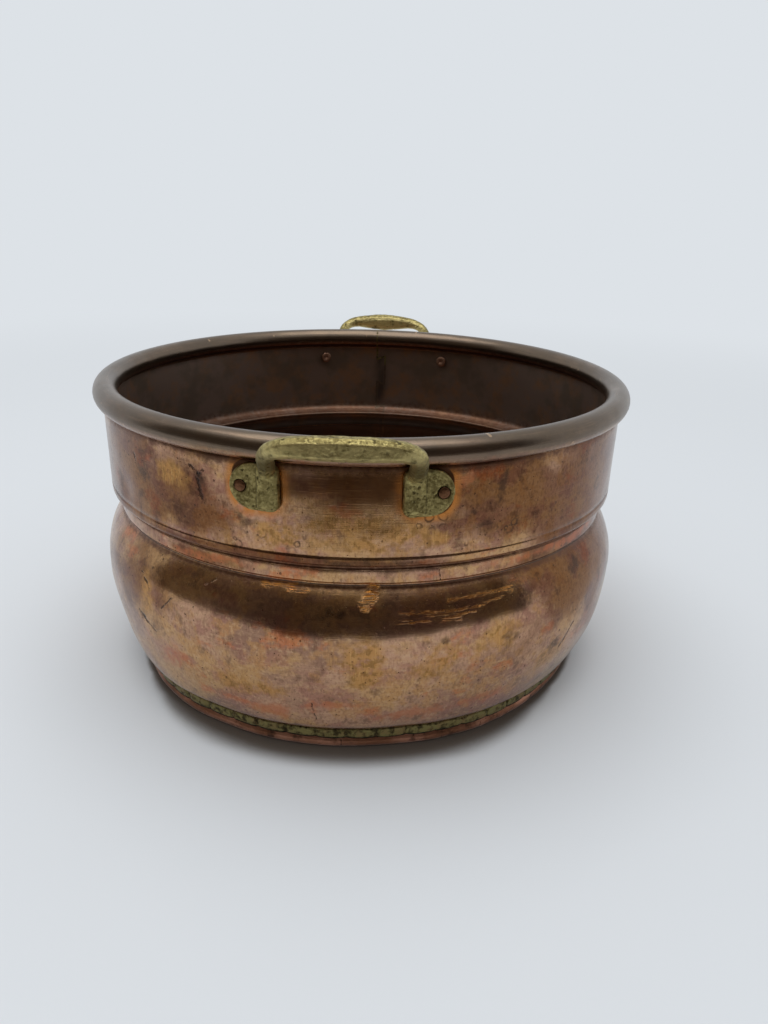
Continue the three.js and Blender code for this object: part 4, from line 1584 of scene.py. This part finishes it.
@dataclass
class SideSeam:
    """The brass run down the back in dovetails, a little proud of the sheet inside and outside.

    A face holds how far aside each point of it lies, from -1 to 1, and how proud it stands, as a share.
    """

    width: float = 2.0
    proud: float = 0.14
    sunk: float = 0.05
    reach: float = 3.0
    pitch: float = 18.0
    flare: float = 1.2
    end: float = 8.0
    step: float = 0.9
    outer_face: tuple = ((-1, 0), (-0.55, 1), (0, 1.25), (0.55, 1), (1, 0))
    inner_face: tuple = ((1, 0), (0.55, 0.45), (0, 0.6), (-0.55, 0.45), (-1, 0))
    soot_top: Pair = (136.0, 143.0)

    def corners(self, wall: BowlWall, line: np.ndarray, lengths: np.ndarray) -> list[Point]:
        """The corners of the dovetailed line, as the way round and the way along the sheet.

        Args:
            wall: The wall that the seam closes.
            line: Its outer face.
            lengths: The way along that face at each point.

        Returns:
            The corners in order, from the foot up.
        """
        roll_foot = wall.rim_height - wall.roll_diameter
        rise = roll_foot - wall.foot_height - self.end
        count = round(rise / self.pitch)
        single = lengths <= lengths[int(np.argmax(line[:, 1] > roll_foot - 2))]
        corners = [(-self.reach, 0.0)]
        for tab in range(1, count + 1):
            height = wall.foot_height + rise * tab / count
            side = 1 if tab % 2 == 0 else -1
            for way in (1, -1):
                along = np.interp(height + way * self.flare, line[single, 1], lengths[single])
                corners.append((way * side * self.reach, float(along)))
        return [*corners, (corners[-1][0], float(lengths[-1]))]

    def edge(
        self, faces: Sequence[np.ndarray], lengths: np.ndarray, places: np.ndarray, depth: float
    ) -> np.ndarray:
        """One edge of the seam, for a seam that stands at the front.

        Args:
            faces: The face of the sheet that the edge lies on and the other, as radius and height.
            lengths: The way along the sheet at each point of either face.
            places: The way round and the way along the sheet of each point of the edge.
            depth: How proud the edge stands, as a share.

        Returns:
            The points in metres.
        """
        here, there = (
            np.column_stack([np.interp(places[:, 1], lengths, column) for column in face.T]) for face in faces
        )
        out = (here - there) / np.maximum(np.linalg.norm(here - there, axis=1), 1e-6)[:, None]
        radius, height = (here + out * (self.proud * depth - self.sunk)).T
        turn = places[:, 0] / NECK_RADIUS
        return np.c_[radius * np.sin(turn), -radius * np.cos(turn), height] * MM

    def build(self, wall: BowlWall, work: HandWork, metal: Metal) -> Piece:
        """Builds the seam through the wall's sheet.

        Args:
            wall: The wall that the seam closes.
            work: What the hammer did to both.
            metal: The brass.

        Returns:
            The finished piece.
        """
        outer, inner = np.array(wall.outer_line()), np.array(wall.inner_line(wall.outer_line()))
        lengths = np.r_[0, np.cumsum(np.linalg.norm(np.diff(outer, axis=0), axis=1))]
        path = np.array(resampled(self.corners(wall, outer, lengths), self.step))
        ways = np.gradient(path, axis=0)
        ways /= np.linalg.norm(ways, axis=1)[:, None]
        aside = np.c_[-ways[:, 1], ways[:, 0]] * self.width / 2
        edges = [
            self.edge(faces, lengths, path + aside * across, depth)
            for faces, profile in (((outer, inner), self.outer_face), ((inner, outer), self.inner_face))
            for across, depth in profile
        ]
        turned = Matrix.Rotation(math.radians(SEAM_AZIMUTH), 3, "Z")
        rings = [[turned @ Vector(point) for point in ring] for ring in zip(*edges)]
        mesh = mesh_of("side_seam_brass", *skin(rings))
        soot = 1 - smoothstep(*self.soot_top, np.array(edges)[:, :, 2].T / MM)
        soot[:, : len(self.outer_face)] = 0
        store(mesh, Look.INSIDE, soot.ravel())
        coated(clean(mesh), metal)
        seam = show("side_seam_brass", mesh)
        work.work(seam)
        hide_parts("side_seam_brazing")
        return fitted(seam)


@dataclass
class Handle:
    """A cast handle on its wall: a D-shaped plate at each end, a leg over the roll and a faceted grip."""

    wall: BowlWall
    spread: float = 37.9
    plate_width: float = 22.8
    plate_height: float = 21.6
    plate_thickness: float = 3.2
    plate_root: float = 6.4
    plate_bevel: float = 0.6
    plate_corner_radius: float = 3.5
    plate_drop: float = 23.8
    grip_standout: float = 18.4
    grip_rise: float = 2.6
    grip_middle_height: float = 9.8
    grip_middle_depth: float = 9.4
    grip_corner_radius: float = 16.0
    grip_lean: float = 2.9
    swell_power: float = 1.0
    hand_wear_and_sheen: float = 0.55
    leg_spread: float = 31.6
    leg_width: float = 7.2
    leg_thickness: float = 6.8
    rib_width: float = 9.2
    rib_height: float = 18.6
    rib_standout: float = 0.9
    rib_root: float = 2.4
    rib_bevel: float = 0.7
    rib_line: float = 0.3
    rib_line_width: float = 0.4
    chamfer: float = 1.9
    inner_chamfer: float = 3.4
    rivet_edge: float = 5.2
    bore_diameter: float = 6.0
    bore_depth: float = 1.0
    grain: float = 0.45
    pit_depth: float = 0.22
    pit_span: float = 1.8
    lump_height: float = 0.16
    lump_span: float = 7.0
    hand_fade: Pair = (156.0, 166.0)
    shade_foot: Pair = (149.0, 154.0)
    shade_top: Pair = (161.0, 168.0)
    seed: float = 11.0

    @property
    def plate_azimuth(self) -> float:
        """Angle from the handle's middle to the middle of a plate."""
        return math.degrees(self.spread / self.wall.neck_radius)

    @property
    def rivet_azimuth(self) -> float:
        """Angle from the handle's middle to a rivet."""
        return math.degrees((self.spread + self.plate_width / 2 - self.rivet_edge) / self.wall.neck_radius)

    @property
    def plate_middle(self) -> float:
        """Height of the middle of the plates."""
        return self.wall.rim_height - self.plate_drop

    @property
    def plate_face(self) -> float:
        """Radius of the plates' outer face."""
        return self.wall.radius_at(self.plate_middle) + self.wall.fit_gap + self.plate_thickness

    def plate_outline(self, sign: int, inset: float) -> list[Point]:
        """The D of a plate, drawn in by an inset, its straight side towards the grip.

        Args:
            sign: -1 for the left side, 1 for the right.
            inset: How far it is drawn in.

        Returns:
            The outline round the plate's middle.
        """
        half, end = self.plate_width / 2 - inset, self.plate_height / 2 - inset
        corner = self.plate_corner_radius
        left = bend((0, -end), (-half, -end), (-half, end), corner, 6)
        top = bend((-half, -end), (-half, end), (0, end), corner, 6)
        curve = [(half * math.cos(a), end * math.sin(a)) for a in np.linspace(math.pi / 2, -math.pi / 2, 26)]
        return [(sign * x, y) for x, y in [*left, *top, *curve]]

    def plate(self, sign: int) -> list[Mesh]:
        """The slab and the raised rib of one plate.

        Args:
            sign: -1 for the left side, 1 for the right.

        Returns:
            The two meshes.
        """
        place = place_at(sign * self.plate_azimuth, self.plate_face, self.plate_middle)
        levels = ((0.0, -self.plate_root), (0.0, -self.plate_bevel), (self.plate_bevel, 0.0))
        slab = [
            [place @ (Vector((x, y, depth)) * MM) for x, y in self.plate_outline(sign, inset)]
            for inset, depth in levels
        ]
        middle = -sign * (self.plate_width / 2 - self.rib_width / 2 - self.plate_bevel)
        rib = []
        for inset, depth in ((0.0, -self.rib_root), (0.0, 0.1), (self.rib_bevel, self.rib_standout)):
            half, end = self.rib_width / 2 - inset, self.rib_height / 2 - inset
            corners = ((-half, -end), (half, -end), (half, end), (-half, end))
            rib.append([place @ (Vector((middle + x, y, depth)) * MM) for x, y in corners])
        return [mesh_of("plate_slab", *skin(slab)), mesh_of("plate_rib", *skin(rib))]

    def ends(self, sign: int) -> tuple[Vector, Vector, Vector]:
        """The foot of the bar, its knee and the corner of its grip on one side.

        Args:
            sign: -1 for the left side, 1 for the right.

        Returns:
            The three points in metres.
        """
        foothold = self.plate_width / 2 - self.rib_width / 2 - self.plate_bevel
        middle, radius = self.plate_middle, self.plate_face - self.plate_thickness / 2
        seat = place_at(sign * self.plate_azimuth, radius, middle)
        low = seat @ (Vector((-sign * foothold, 0, 0)) * MM)
        knee = low.copy()
        knee.z = (middle + self.plate_height / 2 - self.plate_corner_radius) * MM
        out, height = self.wall.rim_diameter / 2 + self.grip_standout, self.wall.rim_height + self.grip_rise
        return low, knee, Vector((self.grip_lean + sign * self.leg_spread, -out, height)) * MM

    def bar_line(self) -> list[Vector]:
        """The line of the bar: up out of one plate, over the roll, across as the grip and down again."""

        def rounded(before: Vector, corner: Vector, after: Vector, radius: float) -> list[Vector]:
            """A corner of the bar as a smooth curve.

            Args:
                before: A point on the line that arrives.
                corner: The corner.
                after: A point on the line that leaves.
                radius: How far from the corner the curve starts, in millimetres.

            Returns:
                The points of the curve.
            """
            start = corner + (before - corner).normalized() * radius * MM
            stop = corner + (after - corner).normalized() * radius * MM
            shares = np.linspace(0, 1, 9)
            return [start * (1 - t) ** 2 + corner * 2 * t * (1 - t) + stop * t**2 for t in shares]

        def half(near: tuple, far: tuple) -> list[Vector]:
            """The line from one foot to the middle of the grip.

            Args:
                near: The ends on this side.
                far: The ends on the other side.

            Returns:
                The points of the line.
            """
            low, knee, grip = near
            line = [low, *rounded(low, knee, grip, self.plate_corner_radius)]
            line += rounded(knee, grip, far[2], self.grip_corner_radius)
            middle = grip.lerp(far[2], 0.5)
            return [*line, *(line[-1].lerp(middle, share) for share in (0.25, 0.5, 0.75, 1.0))]

        left, right = self.ends(-1), self.ends(1)
        return [*half(left, right), *half(right, left)[-2::-1]]

    def bar_section(self, swell: float) -> list[Point]:
        """The chamfered section of the bar, outwards and up, from a leg's at 0 to the grip's middle at 1.

        Args:
            swell: How far the section has swelled.

        Returns:
            The corners of the section.
        """
        deep = (self.leg_thickness + (self.grip_middle_depth - self.leg_thickness) * swell) / 2
        high = (self.leg_width + (self.grip_middle_height - self.leg_width) * swell) / 2
        u, v = deep - self.chamfer, high - self.chamfer
        inner = self.inner_chamfer * 2 * deep / self.grip_middle_depth
        near, low, cut = deep - inner, high - inner, 0.3 * inner
        upper = [(-deep, low), (cut - deep, high - cut), (-near, high), (u, high), (deep, v)]
        return [*((out, -up) for out, up in upper[::-1]), *upper]

    def bar(self) -> Mesh:
        """The bar itself, which swells towards the middle of the grip."""
        line = self.bar_line()
        top_height = (self.wall.rim_height + self.grip_rise) * MM
        middle = self.plate_middle * MM
        rings = []
        for index, point in enumerate(line):
            along = (line[min(index + 1, len(line) - 1)] - line[max(index - 1, 0)]).normalized()
            leg = min(max((top_height - point.z) / (top_height - middle), 0), 1)
            facing = math.radians(math.copysign(self.plate_azimuth * leg, point.x))
            front = Vector((math.sin(facing), -math.cos(facing), 0))
            front = (front - along * front.dot(along)).normalized()
            top = front.cross(along)
            aside = min(abs(point.x / MM - self.grip_lean) / self.leg_spread, 1)
            swell = math.cos(math.pi / 2 * aside) ** self.swell_power
            rings.append([point + (front * out + top * up) * MM for out, up in self.bar_section(swell)])
        return mesh_of("handle_bar", *skin(rings))

    def neck_space(self) -> Mesh:
        """The room that the neck takes, which is cut out of the back of the plates."""
        rings = []
        for height in (self.wall.lip[1], self.wall.roll_centre[1]):
            radius = self.wall.radius_at(height) + self.wall.fit_gap
            rings.append(round_ring(radius * MM, height * MM, 360))
        return mesh_of("neck_space", *skin(rings))

    def bore(self, sign: int, height: float) -> Mesh:
        """The sunk seat of one rivet.

        Args:
            sign: -1 for the left side, 1 for the right.
            height: Height of the rivet.

        Returns:
            The seat as a mesh.
        """
        place = place_at(sign * self.rivet_azimuth, self.plate_face, height)
        circles = [round_ring(self.bore_diameter / 2, depth, 32) for depth in (-self.bore_depth, 6.0)]
        return mesh_of("rivet_bore", *skin([[place @ (p * MM) for p in circle] for circle in circles]))

    def cast(self, name: str, rivet_height: float) -> Piece:
        """Joins bar and plates, cuts the neck and the rivets' seats out and softens every edge.

        Args:
            name: Name of the casting.
            rivet_height: Height of its rivets.

        Returns:
            The casting, at the front.
        """
        body = show(name + "_cast", clean(self.bar()))
        joined = [mesh for sign in (-1, 1) for mesh in self.plate(sign)]
        cut = [self.neck_space(), *(self.bore(sign, rivet_height) for sign in (-1, 1))]
        helpers = []
        for mesh, way in [*((m, "UNION") for m in joined), *((m, "DIFFERENCE") for m in cut)]:
            helpers.append(show(name + "_helper", clean(mesh)))
            modifier = body.modifiers.new(way.lower(), "BOOLEAN")
            modifier.operation, modifier.solver, modifier.object = way, "EXACT", helpers[-1]
        grain = body.modifiers.new("grain", "REMESH")
        grain.mode, grain.voxel_size = "VOXEL", self.grain * MM
        soft = body.modifiers.new("soft", "SMOOTH")
        soft.factor, soft.iterations = 0.5, 3
        cast = baked(body, name)
        for helper in helpers:
            bpy.data.objects.remove(helper)
        return cast

    def rib_lines(self, co: np.ndarray) -> np.ndarray:
        """Where the line beside each rib runs on the face of the plates, from 0 to 1.

        Args:
            co: Points in metres.

        Returns:
            A number for each point.
        """
        heights, radii = co[:, 2] / MM, np.hypot(co[:, 0], co[:, 1]) / MM
        lines = np.zeros(len(co))
        for sign in (-1, 1):
            aside = np.radians(turn_gap(azimuths(co), sign * self.plate_azimuth)) * self.plate_face
            edge = -sign * (self.plate_width / 2 - self.rib_width - self.plate_bevel)
            lines = np.maximum(lines, bell(aside - edge, self.rib_line_width))
        on_plate = smoothstep(-1.2, -0.6, radii - self.plate_face)
        return lines * on_plate * (np.abs(heights - self.plate_middle) < self.rib_height / 2)

    def roughen(self, mesh: Mesh) -> None:
        """Gives a casting at the front its sand pits, its slow lumps and the lines beside its ribs.

        Args:
            mesh: The casting.
        """
        co = coordinates(mesh)
        heights = co[:, 2] / MM
        normals = np.empty(len(co) * 3)
        mesh.vertices.foreach_get("normal", normals)
        normals = normals.reshape(-1, 3)
        coarse, fine = ripple(co, self.lump_span, self.seed), ripple(co, 3, self.seed + 3)
        lumps = self.lump_height * (coarse + 0.6 * fine)
        sand, patches = ripple(co, self.pit_span, self.seed + 5), ripple(co, 5, self.seed + 8)
        pits = smoothstep(0.28, 0.62, sand + 0.3 * patches)
        lines = self.rib_lines(co)
        upright = 1 - smoothstep(0.35, 0.8, normals[:, 2])
        store(mesh, Look.CREVICE, np.maximum(smoothstep(0.3, 1, pits), 0.7 * lines))
        # Rubbed brighter near the top, more on the back handle, where it partly paints in light
        store(mesh, Look.SCUFF, upright * smoothstep(*self.hand_fade, heights) * self.hand_wear_and_sheen)
        # Painted shade on the legs, between the plates and the grip
        on_legs = smoothstep(*self.shade_foot, heights) * (1 - smoothstep(*self.shade_top, heights))
        store(mesh, Look.SMOKE, on_legs)
        push = lumps - self.pit_depth * pits - self.rib_line * lines
        set_coordinates(mesh, co + normals * (push * MM)[:, None])

    def build(self, end: End, rivet_height: float, metal: Metal) -> Piece:
        """Casts one handle and sets it on the bowl.

        Args:
            end: Which handle it is.
            rivet_height: Height of its rivets.
            metal: The brass.

        Returns:
            The finished piece.
        """
        name = f"handle_{end.name.lower()}"
        cast = self.cast(name + "_brass", rivet_height)
        self.roughen(cast.data)
        cast.data.transform(Matrix.Rotation(math.radians(end.value), 4, "Z"))
        coated(clean(cast.data), metal)
        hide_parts(name)
        return fitted(cast)


@dataclass
class Rivets:
    """The four copper rivets, from the dimpled head inside the neck to the end peened over outside."""

    peen_diameter: float = 5.4
    peen_thickness: float = 0.75
    peen_crown: float = 0.35
    shank_diameter: float = 3.6
    head_diameter: float = 7.2
    head_thickness: float = 1.2
    head_depth: float = 6.8
    dimple_diameter: float = 2.2
    dimple_depth: float = 0.5
    sides: int = 28
    back_rise: float = 3.5
    row: Row = Row("copper_rivets", spread=0.05, lumps=0.25, lump_size=2.0, seed=3)

    def height(self, end: End, handle: Handle) -> float:
        """Height of the two rivets at one end, which stand higher in the back plates."""
        return handle.plate_middle + (self.back_rise if end is End.BACK else 0.0)

    def one(self) -> Mesh:
        """One rivet along Z, its outer end a little above zero."""
        inside, tip = -self.head_depth, 0.001
        peen, head = self.peen_diameter / 2, self.head_diameter / 2
        shank, dimple = self.shank_diameter / 2, self.dimple_diameter / 2
        profile = [
            (tip, inside + self.dimple_depth),
            (0.6 * dimple, inside + 0.7 * self.dimple_depth),
            (dimple, inside + 0.05),
            (0.75 * head, inside - 0.05),
            (0.93 * head, inside + 0.15),
            (head, inside + 0.5),
            (head, inside + self.head_thickness),
            (shank, inside + self.head_thickness),
            (shank, -self.peen_thickness),
            (peen, -self.peen_thickness),
            (peen, -0.05),
            (0.92 * peen, 0.12),
            (0.6 * peen, 0.8 * self.peen_crown),
            (tip, self.peen_crown),
        ]
        rings = [[p * MM for p in round_ring(radius, height, self.sides)] for radius, height in profile]
        return clean(mesh_of("rivet", *skin(rings)))

    def build(self, handle: Handle, metal: Metal) -> Piece:
        """Sets the rivets through the plates.

        Args:
            handle: The handle whose plates they go through.
            metal: Their copper.

        Returns:
            The four rivets as one piece.
        """
        face, aside = handle.plate_face, handle.rivet_azimuth
        places = [
            place_at(end.value + sign * aside, face, self.height(end, handle))
            for end in End
            for sign in (-1, 1)
        ]
        rivets = self.row.build(self.one(), places, metal)
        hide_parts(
            *(f"rivet_{end.name.lower()}_{side}" for end in End for side in ("left", "right"))
        )
        return fitted(rivets)


# The studio


@dataclass
class Studio:
    """A pale floor that runs out into a pale room, one broad soft lamp and the camera. Metres.

    Each fade holds where it starts and where it ends.
    """

    backdrop: str = "#dde2e7"
    ambient: float = 0.62
    floor_radius: float = 6.0
    floor_sides: int = 96
    floor_fade: Pair = (0.35, 1.5)
    contact: float = 0.024
    contact_fade: Pair = (-0.132, -0.07)
    contact_shade: str = "#645c55"
    lamp_size: float = 1.7
    lamp_place: Triple = (-0.15, -0.1, 1.9)
    lamp_aim: Triple = (0.0, 0.0, 0.1)
    lamp_power: float = 18.0
    card_shade: str = "#4b423c"
    card_upper_shade: str = "#7a7164"
    card_radius: float = 0.8
    card_foot: float = 0.002
    card_top: float = 0.85
    card_ends: Pair = (-85.0, 70.0)
    card_spokes: int = 28
    upper_fade: Pair = (0.45, 0.8)
    left_fade: Pair = (-0.2, -0.8)
    mat: tuple[Point, ...] = ((-0.62, -0.43), (0.62, -0.43), (0.5, -0.8), (-0.5, -0.8))
    eye: Triple = (0.021635, -0.478281, 0.26246)
    right: Triple = (0.99936321, 0.02599171, 0.02444607)
    up: Triple = (-0.03220095, 0.36181522, 0.93169354)
    ahead: Triple = (-0.01537135, 0.93188743, -0.36242177)
    focal_pixels: float = 830.0
    sensor: float = 36.0

    def floor(self) -> None:
        """The floor, with a painted contact shadow under the bowl, whose own colour gives way to the
        backdrop's with distance.
        """
        rim = round_ring(self.floor_radius, -0.0002, self.floor_sides)
        floor = show("studio_floor", mesh_of("studio_floor", rim, [tuple(range(self.floor_sides))]))
        material = bpy.data.materials.new("matt_floor_paint")
        add = empty_tree(material)
        place = add("ShaderNodeTexCoord").outputs["Object"]
        away = add(VECTOR, {0: place}, operation="LENGTH").outputs["Value"]
        distant = {"Value": away, "From Min": self.floor_fade[0], "From Max": self.floor_fade[1]}
        fade = add(RANGE, distant, interpolation_type="SMOOTHSTEP")
        # Painted contact shadow, seen by the camera only: the last few millimetres under the bowl's edge,
        # which soft light alone leaves too pale
        level = add("ShaderNodeSeparateXYZ", {0: place}).outputs["Y"]
        before = {"Value": level, "From Min": self.contact_fade[0], "From Max": self.contact_fade[1]}
        reach = add(RANGE, {**before, "To Min": self.contact, "To Max": 0.3 * self.contact})
        near = add("ShaderNodeAmbientOcclusion", {"Distance": reach}, samples=16).outputs["AO"]
        clear = {"Value": near, "From Min": 0.5, "From Max": 0.85}
        open_share = add(RANGE, clear, interpolation_type="SMOOTHSTEP")
        path = add("ShaderNodeLightPath").outputs
        indirect = add(MATH, {0: 1.0, 1: path["Is Camera Ray"]}, operation="SUBTRACT")
        plain = add(MATH, {0: open_share, 1: indirect}, operation="MAXIMUM")
        tones = {0: plain, 6: linear(self.contact_shade), 7: linear(self.backdrop)}
        paint = add("ShaderNodeBsdfDiffuse", {"Color": add(MIX, tones, data_type="RGBA").outputs[2]})
        glow = add("ShaderNodeEmission", {"Color": linear(self.backdrop), "Strength": 1.0})
        both = add("ShaderNodeMixShader", {0: fade, 1: paint, 2: glow})
        add("ShaderNodeOutputMaterial", {"Surface": both})
        coated(floor.data, material)

    def card(self) -> None:
        """A dark bent card and mat at the photographer's place, which only the metal sees."""
        count = self.card_spokes
        spokes = np.radians(np.linspace(*self.card_ends, count))
        edge = [(math.sin(a) * self.card_radius, -math.cos(a) * self.card_radius) for a in spokes]
        corners = [(x, y, height) for height in (self.card_foot, self.card_top) for x, y in edge]
        corners += [(x, y, self.card_foot) for x, y in self.mat]
        faces = [(i, i + 1, i + count + 1, i + count) for i in range(count - 1)]
        faces.append(tuple(range(2 * count, 2 * count + len(self.mat))))
        card = show("studio_card", mesh_of("studio_card", corners, faces))
        material = bpy.data.materials.new("dark_card")
        add = empty_tree(material)
        place = add("ShaderNodeTexCoord").outputs["Object"]
        parts = add("ShaderNodeSeparateXYZ", {0: place}).outputs
        above = {"Value": parts["Z"], "From Min": self.upper_fade[0], "From Max": self.upper_fade[1]}
        aside = {"Value": parts["X"], "From Min": self.left_fade[0], "From Max": self.left_fade[1]}
        upper, left = add(RANGE, above), add(RANGE, {**aside, "To Max": 0.45})
        share = add(MATH, {0: upper, 1: left}, operation="ADD", use_clamp=True)
        tones = {0: share, 6: linear(self.card_shade), 7: linear(self.card_upper_shade)}
        tone = add(MIX, tones, data_type="RGBA").outputs[2]
        shade = add("ShaderNodeEmission", {"Color": tone, "Strength": 1.0})
        add("ShaderNodeOutputMaterial", {"Surface": shade})
        coated(card.data, material)
        card.visible_camera = card.visible_diffuse = card.visible_shadow = card.visible_transmission = False

    def room(self) -> None:
        """The room: a plain light, and the backdrop's own colour to the camera and to the metal."""
        world = bpy.data.worlds.new("pale_room")
        bpy.context.scene.world = world
        add = empty_tree(world)
        path = add("ShaderNodeLightPath").outputs
        seen = add(MATH, {0: path["Is Camera Ray"], 1: path["Is Glossy Ray"]}, operation="ADD")
        either = {0: seen, 1: path["Is Transmission Ray"]}
        plain = add(MATH, either, operation="ADD", use_clamp=True)
        light = add("ShaderNodeBackground", {"Color": (1.0, 1.0, 1.0, 1.0), "Strength": self.ambient})
        back = add("ShaderNodeBackground", {"Color": linear(self.backdrop), "Strength": 1.0})
        both = add("ShaderNodeMixShader", {0: plain, 1: light, 2: back})
        add("ShaderNodeOutputWorld", {"Surface": both})

    def lamp(self) -> None:
        """One broad soft lamp overhead, a little to the left and back."""
        data = bpy.data.lights.new("soft_box", "AREA")
        data.shape, data.size, data.energy = "SQUARE", self.lamp_size, self.lamp_power
        lamp = bpy.data.objects.new("soft_box", data)
        lamp.location = self.lamp_place
        lamp.rotation_euler = (Vector(self.lamp_aim) - lamp.location).to_track_quat("-Z", "Y").to_euler()
        bpy.context.scene.collection.objects.link(lamp)

    def camera(self) -> None:
        """The camera where the photograph was taken from."""
        data = bpy.data.cameras.new("camera")
        data.sensor_fit, data.sensor_width = "AUTO", self.sensor
        data.lens = self.focal_pixels * self.sensor / max(FRAME_WIDTH, FRAME_HEIGHT)
        data.clip_start = 0.02
        camera = bpy.data.objects.new("camera", data)
        place = Matrix((self.right, self.up, [-a for a in self.ahead])).transposed().to_4x4()
        place.translation = self.eye
        camera.matrix_world = place
        bpy.context.scene.collection.objects.link(camera)
        bpy.context.scene.camera = camera

    def build(self) -> None:
        """Sets the whole studio up."""
        for make in (self.floor, self.card, self.room, self.lamp, self.camera):
            make()
        bpy.context.scene.view_settings.view_transform = "Standard"


def main() -> None:
    """Builds every sub-assembly in order and reports each piece."""
    logging.basicConfig(level=logging.INFO, format="%(name)s: %(message)s")
    Studio().build()
    work, wall, rivets = HandWork(), BowlWall(), Rivets()
    front = Handle(wall)
    # The back handle is slimmer in its legs, stands lower and bows more, and is rubbed brighter: more wear,
    # and painted light on its grip
    back = Handle(
        wall, leg_width=6.2, swell_power=2.4, grip_middle_height=11.2, grip_rise=2.0, hand_wear_and_sheen=0.9, seed=23.0
    )
    seam_brass, cast_brass = BrazingBrass().material(), CastBrass().material()
    pieces = [
        wall.build(work, PlanishedCopper().material()),
        BasePan().build(work, FireScaledCopper().material()),
        *BaseBrazing().build(work, seam_brass),
        SideSeam().build(wall, work, seam_brass),
        front.build(End.FRONT, rivets.height(End.FRONT, front), cast_brass),
        back.build(End.BACK, rivets.height(End.BACK, back), cast_brass),
        rivets.build(front, RivetCopper().material()),
    ]
    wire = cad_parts["rim_wire"]
    coated(wire.data, DrawnIron().material())
    for piece in [*pieces, wire]:
        LOG.info("%s: %d faces", piece.name, len(piece.data.polygons))


if __name__ == "__main__":
    main()
